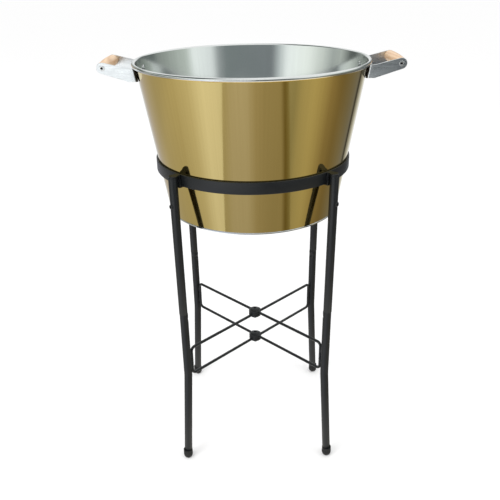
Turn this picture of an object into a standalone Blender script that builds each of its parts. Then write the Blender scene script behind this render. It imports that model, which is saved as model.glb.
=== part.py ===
"""Party tub on a folding stand: a steel drink tub, gold outside, that hangs in a hoop on four tube legs.

Frame: metres, +Z up, origin on the floor under the stand's pivot axis. The tub's handles lie along X.
The legs stand at 45 degrees between X and Y. The front-left and back-right legs make leg frame A, and
the front-right and back-left legs make leg frame B, which turns about the two pivot bolts on the Z axis.
"""

import math

import bmesh
import bpy
from mathutils import Matrix, Vector

# Fits
GAP = 0.0003  # between pieces that touch or are welded
SEAT_GAP = 0.0005  # between a leg's seat and the hoop that it carries
HOLE_GAP = 0.0003  # round a rivet, bolt or screw

# Tub
RIM_RADIUS = 0.2058  # outside of the wired rim
BEAD_RADIUS = 0.0034  # of the wired rim's section
TUB_HEIGHT = 0.2650
WALL_LEAN = math.radians(9.4)  # from upright
WALL = 0.0010
WALL_EDGE = 0.0008  # bevel along the wall's bottom edge
HEM_WIDTH = 0.0030  # the wall's bottom edge, folded under
HEM_HEIGHT = 0.0040
FLOOR_THICKNESS = 0.0012

# Hoop, the flat steel ring that carries the tub
HOOP_TOP = 0.5985  # height of its top edge above the floor
HOOP_HEIGHT = 0.0205
HOOP_THICKNESS = 0.0030
HOOP_EDGE = 0.0004  # bevel along its outer edges
SEAT_DEPTH = 0.1635  # from the rim bead's centre down to the hoop's top edge

# Legs
LEG_RADIUS = 0.0077
LEG_WALL = 0.0012
LEG_LEAN = 0.0089  # how far the leg runs in for each metre down to its bend
LEG_BEND = 0.1960  # height of the bend
LEG_BEND_RADIUS = 0.0900
FOOT_SPREAD = 0.0147  # how far the foot stands outside the bend
LEG_JOINT = 0.3330  # height of the joint between the leg's two tubes
SLEEVE_LENGTH = 0.0500
SLEEVE_WALL = 0.0012
FOOT_WALL = 0.0016  # rubber round the tube
FOOT_HEIGHT = 0.0190
FOOT_SOLE = 0.0035  # rubber under the tube's end
FOOT_ROUNDING = 0.0031  # from the foot's side in to the flat that stands on the floor
FOOT_EDGE = 0.0010  # bevel round the foot's mouth

# Seats that carry the hoop on the legs
SEAT_BLOCK = 0.0036  # thickness between the hoop and the leg
SEAT_THICKNESS = 0.0015  # of the ledge and the lip
SEAT_CLEARANCE = 0.0010  # between the stem's edges and the tube's bore
SEAT_LIP = 0.0060  # how far the lip reaches up inside the hoop
SEAT_HEAD = 0.0028  # thickness over the leg's top
SEAT_HEAD_EDGE = 0.0008
SEAT_STEM = 0.0024  # thickness inside the leg
SEAT_STEM_LENGTH = 0.0620
SCREW_DROP = 0.0530  # from the hoop's top edge down to the seat's screw
SCREW_RADIUS = 0.0020
SCREW_HEAD_RADIUS = 0.0043
SCREW_HEAD_HEIGHT = 0.0026
SCREW_END = 0.0012  # how far the screw passes the stem

# Wire braces and their two pivots
WIRE_RADIUS = 0.0028
WIRE_CORNER = 0.0080
UPPER_PIVOT = 0.2553
LOWER_PIVOT = 0.1965
BOSS_RADIUS = 0.0125
BOSS_OVER_WIRE = 0.0005  # how much taller a boss is than its wires
BOSS_EDGE = 0.0008
BOLT_RADIUS = 0.0030
BOLT_HEAD_RADIUS = 0.0095
BOLT_HEAD_HEIGHT = 0.0030
BOLT_END_EDGE = 0.0005
NUT_RADIUS = 0.0082  # across the corners
NUT_HEIGHT = 0.0036
NUT_EDGE_HEIGHT = 0.0007  # the broken corners under the nut
NUT_EDGE_WIDTH = 0.0011
BOLT_POINT = 0.0012  # how far the bolt passes the nut

# Handles
HANDLE_REACH = 0.0430  # from the rim out to the grip's axis
GRIP_DROP = 0.0063  # from the rim's top down to the grip's axis
HANDLE_WIDTH = 0.1000  # over the bracket's two arms
BRACKET_THICKNESS = 0.0018
BRACKET_ROOT = 0.0220  # height of the bracket at the tub's wall
BRACKET_END_RADIUS = 0.0092
BRACKET_BEND = 0.0045  # radius of the bends outside
BRACKET_END_FROM = -75  # degrees: where the arm's lower edge meets its round end
BRACKET_END_TO = 100
RIM_CLEARANCE = 0.0006  # from the rim bead down to the bracket
GRIP_END_RADIUS = 0.0090
GRIP_RADIUS = 0.0102
GRIP_EDGE = 0.0015
PIN_RADIUS = 0.0028
PIN_WALL = 0.0008
PIN_HEAD_OVERHANG = 0.0015
PIN_HEAD_HEIGHT = 0.0010
PIN_HEAD_EDGE = 0.0009
GRIP_CLEARANCE = 0.0004  # between the grip and its pin, and at its ends
RIVET_SPACING = 0.0680
RIVET_RADIUS = 0.0022
RIVET_HEAD_RADIUS = 0.0045
RIVET_HEAD_HEIGHT = 0.0018

# Facets
TUB_STEPS = 72
HOOP_STEPS = 72
BEAD_STEPS = 11
BOSS_STEPS = 28
ROUND_STEPS = 20  # round grips, feet and bolts
SMALL_STEPS = 16
END_STEPS = 10
DOME_STEPS = 4
LEG_BEVEL = 5
WIRE_BEVEL = 3
MERGE = 0.00001
DRILL = 0.0300  # length of a cutter that passes through a bracket and the wall

# Sizes that follow from the ones above
HOOP_BOTTOM = HOOP_TOP - HOOP_HEIGHT
BEAD_HEIGHT = HOOP_TOP + SEAT_DEPTH  # of the rim bead's centre
TUB_TOP = BEAD_HEIGHT + BEAD_RADIUS
TUB_BASE = TUB_TOP - TUB_HEIGHT
BEAD_DISTANCE = RIM_RADIUS - BEAD_RADIUS  # from the tub's axis to the bead's centre
FOOT_RADIUS = LEG_RADIUS + FOOT_WALL
SEAT_WIDTH = 2 * (LEG_RADIUS - LEG_WALL - SEAT_CLEARANCE)
BOSS_HEIGHT = 2 * WIRE_RADIUS + BOSS_OVER_WIRE
PIN_BORE_RADIUS = PIN_RADIUS - PIN_WALL
PIN_HEAD_RADIUS = PIN_RADIUS + PIN_HEAD_OVERHANG


def wall_radius(height):
    """Outside of the tub's wall, whose inside runs up into the bead, at a height above the floor."""
    inside = BEAD_DISTANCE - BEAD_RADIUS * math.cos(WALL_LEAN)
    drop = BEAD_HEIGHT + BEAD_RADIUS * math.sin(WALL_LEAN) - height
    return inside + WALL_ACROSS - drop * math.tan(WALL_LEAN)


WALL_ACROSS = WALL / math.cos(WALL_LEAN)  # the wall's thickness, measured level
HOOP_INSIDE = wall_radius(HOOP_TOP) + GAP
HOOP_OUTSIDE = HOOP_INSIDE + HOOP_THICKNESS
BLOCK_INSIDE = HOOP_OUTSIDE + SEAT_GAP
BLOCK_OUTSIDE = BLOCK_INSIDE + SEAT_BLOCK
LEDGE_TOP = HOOP_BOTTOM - SEAT_GAP
LEDGE_BOTTOM = LEDGE_TOP - SEAT_THICKNESS
LEG_TOP = HOOP_TOP - SEAT_HEAD - GAP  # height of the tube's top end
# From the pivot axis to the leg's axis at the leg's top
LEG_DISTANCE = BLOCK_OUTSIDE + GAP + LEG_RADIUS + LEG_LEAN * (LEG_TOP - LEDGE_BOTTOM)
BEND_DISTANCE = LEG_DISTANCE - LEG_LEAN * (LEG_TOP - LEG_BEND)
FRAME_OFFSET = (BOSS_HEIGHT + GAP) / 2  # frame A's wires lie this far below the pivot, frame B's above
GRIP_DISTANCE = RIM_RADIUS + HANDLE_REACH  # from the tub's axis to the grip's axis
GRIP_AXIS_HEIGHT = TUB_TOP - GRIP_DROP
BRACKET_TOP = TUB_TOP - 2 * BEAD_RADIUS - RIM_CLEARANCE
BRACKET_BOTTOM = BRACKET_TOP - BRACKET_ROOT

LEGS = {
    "front_left": (225, "a"),
    "back_right": (45, "a"),
    "front_right": (315, "b"),
    "back_left": (135, "b"),
}
HANDLES = {"right": 0, "left": 180}


# Scene and material helpers


def new_scene():
    """Removes every object, and makes the part's collection and the cutters' collection."""
    for obj in list(bpy.data.objects):
        bpy.data.objects.remove(obj)
    found = []
    for name in ("tub_stand", "cutters"):
        collection = bpy.data.collections.new(name)
        bpy.context.scene.collection.children.link(collection)
        found.append(collection)
    return found


PARTS, CUTTERS = new_scene()


def material(name, colour, roughness, metallic):
    made = bpy.data.materials.new(name)
    made.use_nodes = True
    shader = made.node_tree.nodes["Principled BSDF"]
    shader.inputs["Base Color"].default_value = (*colour, 1)
    shader.inputs["Roughness"].default_value = roughness
    shader.inputs["Metallic"].default_value = metallic
    return made


GOLD = material("gold_steel", (0.62, 0.47, 0.20), 0.22, 1)
STEEL = material("bare_steel", (0.62, 0.64, 0.65), 0.28, 1)
ZINC = material("galvanised_steel", (0.55, 0.58, 0.60), 0.38, 1)
BLACK = material("black_paint", (0.030, 0.032, 0.034), 0.42, 0)
RUBBER = material("black_rubber", (0.015, 0.015, 0.015), 0.75, 0)
WOOD = material("beech", (0.78, 0.56, 0.36), 0.55, 0)


def add_object(name, data, finish, matrix=None, collection=None):
    obj = bpy.data.objects.new(name, data)
    (collection or PARTS).objects.link(obj)
    if finish:
        data.materials.append(finish)
    if matrix is not None:
        obj.matrix_world = matrix
    return obj


def smooth(mesh, angle=math.radians(35)):
    mesh.shade_smooth()
    mesh.set_sharp_from_angle(angle=angle)


# Shape helpers


def turned(name, profile, finish, matrix=None, steps=SMALL_STEPS, closed=False, collection=None):
    """Turns (radius, height) points about the local Z axis. The points run down the outer side."""
    mesh = bpy.data.meshes.new(name)
    edges = [(i, i + 1) for i in range(len(profile) - 1)]
    if closed:
        edges.append((len(profile) - 1, 0))
    mesh.from_pydata([(radius, 0, height) for radius, height in profile], edges, [])
    obj = add_object(name, mesh, finish, matrix, collection)
    screw = obj.modifiers.new("turn", "SCREW")
    screw.axis = "Z"
    screw.angle = 2 * math.pi
    screw.steps = steps
    screw.render_steps = steps
    screw.use_merge_vertices = True
    screw.merge_threshold = MERGE
    screw.use_smooth_shade = True
    return obj


def arc(centre, radius, start, end, count):
    """Points on an arc, from start to end in degrees, both ends included."""
    turns = [math.radians(start + (end - start) * i / count) for i in range(count + 1)]
    return [(centre[0] + radius * math.cos(t), centre[1] + radius * math.sin(t)) for t in turns]


def dome(radius, base, height):
    """Points of a low dome, from its top on the axis down to its edge at the base height."""
    turns = [math.radians(90 - 90 * i / DOME_STEPS) for i in range(DOME_STEPS + 1)]
    return [(radius * math.cos(t), base + height * math.sin(t)) for t in turns]


def fillet(before, corner, after, radius, count):
    """Points round a corner of a path of 2-D points, where the path turns with a radius."""
    corner = Vector(corner)
    back = (Vector(before) - corner).normalized()
    on = (Vector(after) - corner).normalized()
    half = back.angle(on) / 2
    centre = corner + (back + on).normalized() * (radius / math.sin(half))
    start = corner + back * (radius / math.tan(half)) - centre
    end = corner + on * (radius / math.tan(half)) - centre
    # Both ends lie at the radius from the centre, so shares of them scaled to it lie on the arc
    shares = [i / count for i in range(count + 1)]
    turn = math.pi - 2 * half
    return [
        tuple(
            centre
            + (start * math.sin((1 - share) * turn) + end * math.sin(share * turn))
            / math.sin(turn)
        )
        for share in shares
    ]


def poly_curve(name, points, closed=False, flat=False):
    curve = bpy.data.curves.new(name, "CURVE")
    curve.dimensions = "2D" if flat else "3D"
    spline = curve.splines.new("POLY")
    spline.points.add(len(points) - 1)
    for place, point in zip(spline.points, points):
        place.co = (*point, 0, 1) if len(point) == 2 else (*point, 1)
    spline.use_cyclic_u = closed
    return curve


def mesh_of(curve_object, name):
    """The curve's evaluated mesh with its caps welded on. The curve object is removed."""
    graph = bpy.context.evaluated_depsgraph_get()
    mesh = bpy.data.meshes.new_from_object(curve_object.evaluated_get(graph))
    mesh.name = name
    bpy.data.objects.remove(curve_object)
    work = bmesh.new()
    work.from_mesh(mesh)
    bmesh.ops.remove_doubles(work, verts=work.verts, dist=MERGE)
    work.to_mesh(mesh)
    work.free()
    return mesh


def plate(name, outline, half_thickness, finish, matrix, collection=None):
    """A flat outline, thickened both ways along its local Z, as a mesh object."""
    curve = poly_curve(name, outline, closed=True, flat=True)
    curve.fill_mode = "BOTH"
    curve.extrude = half_thickness
    drawn = add_object(name, curve, None)
    mesh = mesh_of(drawn, name)
    return add_object(name, mesh, finish, matrix, collection)


def rod(name, points, radius, finish, matrix, bevel=WIRE_BEVEL, caps=True):
    """A round bar or, without caps, a tube's outer skin along the points."""
    curve = poly_curve(name, points)
    curve.bevel_depth = radius
    curve.bevel_resolution = bevel
    curve.use_fill_caps = caps
    mesh = mesh_of(add_object(name, curve, None), name)
    smooth(mesh)
    return add_object(name, mesh, finish, matrix)


def cylinder_cutter(name, radius, length, matrix):
    """A cutter along its local Z, centred on its origin."""
    mesh = bpy.data.meshes.new(name)
    work = bmesh.new()
    bmesh.ops.create_cone(
        work, cap_ends=True, segments=SMALL_STEPS, radius1=radius, radius2=radius, depth=length
    )
    work.to_mesh(mesh)
    work.free()
    return hide(add_object(name, mesh, None, matrix, CUTTERS))


def hide(cutter):
    cutter.hide_render = True
    cutter.display_type = "WIRE"
    return cutter


def boolean(obj, other, operation):
    modifier = obj.modifiers.new(other.name, "BOOLEAN")
    modifier.operation = operation
    modifier.object = other
    modifier.solver = "EXACT"


def turn_z(degrees):
    return Matrix.Rotation(math.radians(degrees), 4, "Z")


# Along X in the local frame: lays local Z along +X, and local X along -Z
LAY_ALONG_X = Matrix.Rotation(math.radians(90), 4, "Y")
LAY_ALONG_Y = Matrix.Rotation(math.radians(-90), 4, "X")
# A (radius, height) outline in the XY plane stands up in the XZ plane
STAND_UP = Matrix.Rotation(math.radians(90), 4, "X")


# Tub


def tub_wall():
    """The gold wall with its wired rim and folded hem, with holes for the handles' rivets."""
    bead = (BEAD_DISTANCE, BEAD_HEIGHT)
    lean = math.degrees(WALL_LEAN)
    meets_wall = math.degrees(math.acos((BEAD_RADIUS - WALL) / BEAD_RADIUS))
    profile = arc(bead, BEAD_RADIUS, 90, meets_wall - lean - 180, BEAD_STEPS)
    base = wall_radius(TUB_BASE)
    profile += [
        (wall_radius(TUB_BASE + WALL_EDGE), TUB_BASE + WALL_EDGE),
        (base - WALL_EDGE, TUB_BASE),
        (base - HEM_WIDTH, TUB_BASE),
        (base - HEM_WIDTH, TUB_BASE + HEM_HEIGHT),
        (wall_radius(TUB_BASE + HEM_HEIGHT) - WALL_ACROSS, TUB_BASE + HEM_HEIGHT),
    ]
    profile += arc(bead, BEAD_RADIUS, 180 - lean, 110, 4)
    wall = turned("tub_wall", profile, GOLD, steps=TUB_STEPS, closed=True)
    for side, angle in HANDLES.items():
        for end in (-1, 1):
            cutter = cylinder_cutter(
                f"rivet_hole_{side}_{end}", RIVET_RADIUS + HOLE_GAP, DRILL, rivet_matrix(angle, end)
            )
            boolean(wall, cutter, "DIFFERENCE")


def tub_floor():
    """The bottom plate, which lies on the hem."""
    under = TUB_BASE + HEM_HEIGHT + GAP
    top = under + FLOOR_THICKNESS
    profile = [
        (0, top),
        (wall_radius(top) - WALL_ACROSS - GAP, top),
        (wall_radius(under) - WALL_ACROSS - GAP, under),
        (0, under),
    ]
    turned("tub_floor", profile, STEEL, steps=TUB_STEPS)


# Handles


def rivet_height():
    return (BRACKET_TOP + BRACKET_BOTTOM) / 2


def rivet_matrix(handle_angle, end):
    """On the wall's outer face at a rivet, with local Z along the wall's outward normal."""
    height = rivet_height()
    radius = wall_radius(height)
    swing = math.degrees(math.asin(RIVET_SPACING / 2 / radius)) * end
    out = Matrix.Translation((radius, 0, height)) @ LAY_ALONG_X
    lean = Matrix.Rotation(WALL_LEAN, 4, "Y")
    place = out.translation.copy()
    tilted = Matrix.Translation(place) @ lean @ Matrix.Translation(-place) @ out
    return turn_z(handle_angle + swing) @ tilted


def bracket_plan():
    """The bent strip seen from above: along the wall, round two bends and out along both arms."""
    inner = wall_radius(rivet_height()) + GAP
    outer = inner + BRACKET_THICKNESS
    half = HANDLE_WIDTH / 2
    reach = GRIP_DISTANCE + 2 * BRACKET_END_RADIUS
    # The outside of the bend: a circle that touches the wall side of the strip and the arm's outer face
    bend_y = half - BRACKET_BEND
    bend_x = math.sqrt((inner + BRACKET_BEND) ** 2 - bend_y**2)
    swing = math.degrees(math.atan2(bend_y, bend_x))
    small = BRACKET_BEND - BRACKET_THICKNESS
    wall_side = arc((0, 0), inner, -swing, swing, END_STEPS)
    bend_outside = arc((bend_x, bend_y), BRACKET_BEND, swing + 180, 90, 6)
    bend_inside = arc((bend_x, bend_y), small, 90, swing + 180, 5)
    grip_side = arc((0, 0), outer, swing, -swing, END_STEPS)
    upper_arm = [(reach, half), (reach, half - BRACKET_THICKNESS)]

    def mirrored(points):
        return [(x, -y) for x, y in reversed(points)]

    return (
        wall_side[1:-1]
        + bend_outside
        + upper_arm
        + bend_inside
        + grip_side[1:-1]
        + mirrored(bend_inside)
        + mirrored(upper_arm)
        + mirrored(bend_outside)
    )


def bracket_side():
    """The bracket seen from the side: deep at the wall, with a round end about the grip's axis."""
    axis = (GRIP_DISTANCE, GRIP_AXIS_HEIGHT)
    inside = RIM_RADIUS / 2  # well inside the wall, so that the whole strip is kept there
    lower = [(inside, BRACKET_BOTTOM), (RIM_RADIUS, BRACKET_BOTTOM)]
    upper = [(RIM_RADIUS, BRACKET_TOP), (inside, BRACKET_TOP)]
    end = arc(axis, BRACKET_END_RADIUS, BRACKET_END_FROM, BRACKET_END_TO, END_STEPS)
    return lower + end + upper


def handle_bracket(side, angle):
    """The galvanised bracket: the bent strip, leaning with the wall, trimmed to its side outline."""
    middle = rivet_height()
    strip = plate(
        f"handle_bracket_{side}",
        bracket_plan(),
        2 * BRACKET_ROOT,
        ZINC,
        Matrix.Translation((0, 0, middle)),
    )
    lean = Matrix.Identity(4)
    lean[0][2] = math.tan(WALL_LEAN)
    strip.data.transform(lean)
    strip.matrix_world = turn_z(angle) @ strip.matrix_world
    trim = plate(
        f"bracket_trim_{side}",
        bracket_side(),
        HANDLE_WIDTH,
        None,
        turn_z(angle) @ STAND_UP,
        CUTTERS,
    )
    boolean(strip, hide(trim), "INTERSECT")
    for end in (-1, 1):
        hole = cylinder_cutter(
            f"bracket_hole_{side}_{end}", RIVET_RADIUS + HOLE_GAP, DRILL, rivet_matrix(angle, end)
        )
        boolean(strip, hole, "DIFFERENCE")
    eye = cylinder_cutter(
        f"bracket_eye_{side}", PIN_RADIUS + HOLE_GAP, HANDLE_WIDTH + DRILL, grip_matrix(angle)
    )
    boolean(strip, eye, "DIFFERENCE")


def grip_matrix(angle):
    """At the middle of a grip, with local Z along its axis."""
    return turn_z(angle) @ Matrix.Translation((GRIP_DISTANCE, 0, GRIP_AXIS_HEIGHT)) @ LAY_ALONG_Y


def handle_grip(side, angle):
    """The turned wooden grip, a little fuller in the middle, bored for its pin."""
    half = HANDLE_WIDTH / 2 - BRACKET_THICKNESS - GRIP_CLEARANCE
    bore = PIN_RADIUS + GRIP_CLEARANCE
    stations = 6
    outside = []
    for i in range(stations + 1):
        share = 1 - 2 * i / stations
        swell = (GRIP_RADIUS - GRIP_END_RADIUS) * (1 - share**2)
        outside.append((GRIP_END_RADIUS + swell, share * (half - GRIP_EDGE)))
    end_radius = GRIP_END_RADIUS - GRIP_EDGE
    profile = [(end_radius, half)] + outside + [(end_radius, -half)]
    profile += [(bore, -half), (bore, half)]
    turned(f"grip_{side}", profile, WOOD, grip_matrix(angle), closed=True, steps=ROUND_STEPS)


def handle_pin(side, angle):
    """The hollow rivet through both arms and the grip, with a flared head at each end."""
    face = HANDLE_WIDTH / 2 + GAP
    top = face + PIN_HEAD_HEIGHT
    profile = [
        (PIN_BORE_RADIUS, top),
        (PIN_HEAD_RADIUS - PIN_HEAD_EDGE, top),
        (PIN_HEAD_RADIUS, face),
        (PIN_RADIUS, face),
        (PIN_RADIUS, -face),
        (PIN_HEAD_RADIUS, -face),
        (PIN_HEAD_RADIUS - PIN_HEAD_EDGE, -top),
        (PIN_BORE_RADIUS, -top),
    ]
    turned(f"handle_pin_{side}", profile, STEEL, grip_matrix(angle), closed=True)


def handle_rivet(side, place, angle, end):
    """A rivet through the bracket and the wall, with a domed head on both sides."""
    outside = GAP + BRACKET_THICKNESS + 2 * GAP
    inside = WALL + 2 * GAP
    inner_dome = dome(RIVET_HEAD_RADIUS, inside, RIVET_HEAD_HEIGHT)
    inner_head = [(radius, -height) for radius, height in inner_dome]
    profile = dome(RIVET_HEAD_RADIUS, outside, RIVET_HEAD_HEIGHT)
    profile += [(RIVET_RADIUS, outside), (RIVET_RADIUS, -inside)] + inner_head[::-1]
    turned(f"handle_rivet_{side}_{place}", profile, STEEL, rivet_matrix(angle, end))


# Hoop


def hoop():
    profile = [
        (HOOP_INSIDE, HOOP_TOP),
        (HOOP_OUTSIDE - HOOP_EDGE, HOOP_TOP),
        (HOOP_OUTSIDE, HOOP_TOP - HOOP_EDGE),
        (HOOP_OUTSIDE, HOOP_BOTTOM + HOOP_EDGE),
        (HOOP_OUTSIDE - HOOP_EDGE, HOOP_BOTTOM),
        (HOOP_INSIDE, HOOP_BOTTOM),
    ]
    turned("hoop", profile, BLACK, steps=HOOP_STEPS, closed=True)


# Legs, each in the XZ plane at +X and then turned to its place


def leg_at(height):
    """From the pivot axis to the leg's axis at a height above the bend."""
    return LEG_DISTANCE - LEG_LEAN * (LEG_TOP - height)


def along_leg(height):
    """On the leg's axis at a height above the bend, with local Z up along the leg."""
    return Matrix.Translation((leg_at(height), 0, height)) @ Matrix.Rotation(
        math.atan(LEG_LEAN), 4, "Y"
    )


def screw_matrix(angle):
    """On the leg's axis at the seat's screw, with local Z pointing out along the radius."""
    height = HOOP_TOP - SCREW_DROP
    return turn_z(angle) @ Matrix.Translation((leg_at(height), 0, height)) @ LAY_ALONG_X


def leg_tube(name, path, angle):
    """A tube with open ends along a path of (x, z) points."""
    points = [(x, 0, z) for x, z in path]
    tube = rod(name, points, LEG_RADIUS, BLACK, turn_z(angle), bevel=LEG_BEVEL, caps=False)
    shell = tube.modifiers.new("wall", "SOLIDIFY")
    shell.thickness = LEG_WALL
    shell.offset = -1
    shell.use_even_offset = True
    return tube


def leg(place, angle):
    """The leg's upper tube, its lower tube with the bend, and the sleeve that joins them."""
    upper_end = (leg_at(LEG_JOINT + GAP / 2), LEG_JOINT + GAP / 2)
    lower_end = (leg_at(LEG_JOINT - GAP / 2), LEG_JOINT - GAP / 2)
    bend = (BEND_DISTANCE, LEG_BEND)
    foot_end = (BEND_DISTANCE + FOOT_SPREAD, FOOT_SOLE + GAP)
    upper = leg_tube(f"leg_upper_{place}", [(LEG_DISTANCE, LEG_TOP), upper_end], angle)
    hole = cylinder_cutter(
        f"leg_hole_{place}", SCREW_RADIUS + HOLE_GAP, 2 * LEG_RADIUS, screw_matrix(angle)
    )
    # The screw goes in from outside the leg, so only the outer wall is drilled
    hole.matrix_world = screw_matrix(angle) @ Matrix.Translation((0, 0, LEG_RADIUS))
    boolean(upper, hole, "DIFFERENCE")
    bent = fillet(lower_end, bend, foot_end, LEG_BEND_RADIUS, 4)
    leg_tube(f"leg_lower_{place}", [lower_end, *bent, foot_end], angle)
    outer = LEG_RADIUS - LEG_WALL - GAP
    inner = outer - SLEEVE_WALL
    half = SLEEVE_LENGTH / 2
    profile = [(inner, half), (outer, half), (outer, -half), (inner, -half)]
    at = turn_z(angle) @ along_leg(LEG_JOINT)
    turned(f"leg_sleeve_{place}", profile, BLACK, at, closed=True)


def foot(place, angle):
    """The rubber foot: upright with a flat sole, and a socket that leans with the leg."""
    flat = FOOT_RADIUS - FOOT_ROUNDING
    profile = [(0, FOOT_HEIGHT), (FOOT_RADIUS - FOOT_EDGE, FOOT_HEIGHT)]
    profile += [(FOOT_RADIUS, FOOT_HEIGHT - FOOT_EDGE)]
    profile += arc((flat, FOOT_ROUNDING), FOOT_ROUNDING, 0, -90, 5)
    profile += [(0, 0)]
    end = BEND_DISTANCE + FOOT_SPREAD
    splay = math.atan2(FOOT_SPREAD, LEG_BEND - FOOT_SOLE - GAP)
    at = turn_z(angle) @ Matrix.Translation((end, 0, 0))
    rubber = turned(f"foot_{place}", profile, RUBBER, at, steps=ROUND_STEPS)
    depth = FOOT_HEIGHT * 2
    lean = Matrix.Rotation(-splay, 4, "Y")
    seat = Matrix.Translation((end, 0, FOOT_SOLE)) @ lean @ Matrix.Translation((0, 0, depth / 2))
    socket = cylinder_cutter(f"foot_socket_{place}", LEG_RADIUS + GAP, depth, turn_z(angle) @ seat)
    boolean(rubber, socket, "DIFFERENCE")


def hoop_seat(place, angle):
    """A stem inside the leg, a round head over its top, and a hook that the hoop sits in."""
    lip_outside = HOOP_INSIDE - SEAT_GAP
    lip_inside = lip_outside - SEAT_THICKNESS
    lip_top = HOOP_BOTTOM + SEAT_LIP
    under_head = LEG_TOP + GAP
    stem_end = LEG_TOP - SEAT_STEM_LENGTH
    stem_outside = SEAT_STEM / 2
    stem_inside = -SEAT_STEM / 2
    outline = [
        (LEG_DISTANCE + stem_outside, HOOP_TOP),
        (BLOCK_INSIDE, HOOP_TOP),
        (BLOCK_INSIDE, LEDGE_TOP),
        (lip_outside, LEDGE_TOP),
        (lip_outside, lip_top),
        (lip_inside, lip_top),
        (lip_inside, LEDGE_BOTTOM),
        (BLOCK_OUTSIDE, LEDGE_BOTTOM),
        (BLOCK_OUTSIDE, under_head),
        (LEG_DISTANCE + stem_inside, under_head),
        (leg_at(stem_end) + stem_inside, stem_end),
        (leg_at(stem_end) + stem_outside, stem_end),
    ]
    seat = plate(
        f"hoop_seat_{place}", outline, SEAT_WIDTH / 2, BLACK, turn_z(angle) @ STAND_UP
    )
    head_profile = [(0, 0), (LEG_RADIUS - SEAT_HEAD_EDGE, 0), (LEG_RADIUS, -SEAT_HEAD_EDGE)]
    head_profile += [(LEG_RADIUS, -SEAT_HEAD), (0, -SEAT_HEAD)]
    at = turn_z(angle) @ Matrix.Translation((LEG_DISTANCE, 0, HOOP_TOP))
    head = turned(f"seat_head_{place}", head_profile, None, at, collection=CUTTERS)
    boolean(seat, hide(head), "UNION")
    hole = cylinder_cutter(
        f"seat_hole_{place}", SCREW_RADIUS + HOLE_GAP, 2 * LEG_RADIUS, screw_matrix(angle)
    )
    boolean(seat, hole, "DIFFERENCE")


def seat_screw(place, angle):
    """The screw through the leg's outer wall and the seat's stem, with a pan head outside."""
    face = LEG_RADIUS + GAP
    end = -SEAT_STEM / 2 - SCREW_END
    profile = dome(SCREW_HEAD_RADIUS, face, SCREW_HEAD_HEIGHT)
    profile += [(SCREW_RADIUS, face), (SCREW_RADIUS, end), (0, end)]
    turned(f"seat_screw_{place}", profile, BLACK, screw_matrix(angle))


# Braces and pivots


def frame_shift(frame):
    """Frame A's wires and bosses lie below each pivot's middle, and frame B's above it."""
    return -FRAME_OFFSET if frame == "a" else FRAME_OFFSET


def brace_wire(place, angle, frame):
    """One bent wire: out from the upper boss, down along the leg, and back to the lower boss."""
    shift = frame_shift(frame)
    upper = UPPER_PIVOT + shift
    lower = LOWER_PIVOT + shift
    start = BOSS_RADIUS + GAP
    end = BEND_DISTANCE - LEG_RADIUS - GAP - WIRE_RADIUS
    points = [(start, upper)]
    points += fillet((start, upper), (end, upper), (end, lower), WIRE_CORNER, 6)
    points += fillet((end, upper), (end, lower), (start, lower), WIRE_CORNER, 6)
    points += [(start, lower)]
    rod(f"brace_wire_{place}", [(x, 0, z) for x, z in points], WIRE_RADIUS, BLACK, turn_z(angle))


def boss(level, height, frame):
    """A round boss that two wires are welded to, bored for the pivot bolt."""
    half = BOSS_HEIGHT / 2
    bore = BOLT_RADIUS + HOLE_GAP
    profile = [
        (bore, half),
        (BOSS_RADIUS - BOSS_EDGE, half),
        (BOSS_RADIUS, half - BOSS_EDGE),
        (BOSS_RADIUS, -half + BOSS_EDGE),
        (BOSS_RADIUS - BOSS_EDGE, -half),
        (bore, -half),
    ]
    at = Matrix.Translation((0, 0, height + frame_shift(frame)))
    turned(f"pivot_boss_{level}_{frame}", profile, BLACK, at, steps=BOSS_STEPS, closed=True)


def pivot_faces():
    """Half the height of a pivot's two bosses together."""
    return FRAME_OFFSET + BOSS_HEIGHT / 2


def pivot_bolt(level, height):
    under_head = pivot_faces() + GAP
    end = -pivot_faces() - GAP - NUT_HEIGHT - BOLT_POINT
    profile = dome(BOLT_HEAD_RADIUS, under_head, BOLT_HEAD_HEIGHT)
    profile += [(BOLT_RADIUS, under_head), (BOLT_RADIUS, end + BOLT_END_EDGE)]
    profile += [(BOLT_RADIUS - BOLT_END_EDGE, end), (0, end)]
    at = Matrix.Translation((0, 0, height))
    turned(f"pivot_bolt_{level}", profile, BLACK, at, steps=ROUND_STEPS)


def pivot_nut(level, height):
    """A hexagon nut with its corners broken, under the lower boss."""
    top = -pivot_faces() - GAP
    bore = BOLT_RADIUS + HOLE_GAP
    nut_steps = 6
    profile = [
        (bore, top),
        (NUT_RADIUS, top),
        (NUT_RADIUS, top - NUT_HEIGHT + NUT_EDGE_HEIGHT),
        (NUT_RADIUS - NUT_EDGE_WIDTH, top - NUT_HEIGHT),
        (bore, top - NUT_HEIGHT),
    ]
    # The bore has six sides too, so it is widened until its flats clear the bolt
    widen = 1 / math.cos(math.pi / nut_steps)
    profile = [(x * widen if x == bore else x, z) for x, z in profile]
    at = Matrix.Translation((0, 0, height))
    nut = turned(f"pivot_nut_{level}", profile, BLACK, at, steps=nut_steps, closed=True)
    nut.modifiers["turn"].use_smooth_shade = False


def build():
    tub_wall()
    tub_floor()
    for side, angle in HANDLES.items():
        handle_bracket(side, angle)
        handle_grip(side, angle)
        handle_pin(side, angle)
        front = -1 if side == "right" else 1
        handle_rivet(side, "front", angle, front)
        handle_rivet(side, "back", angle, -front)
    hoop()
    for place, (angle, frame) in LEGS.items():
        leg(place, angle)
        foot(place, angle)
        hoop_seat(place, angle)
        seat_screw(place, angle)
        brace_wire(place, angle, frame)
    for level, height in (("upper", UPPER_PIVOT), ("lower", LOWER_PIVOT)):
        for frame in ("a", "b"):
            boss(level, height, frame)
        pivot_bolt(level, height)
        pivot_nut(level, height)


build()
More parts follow.
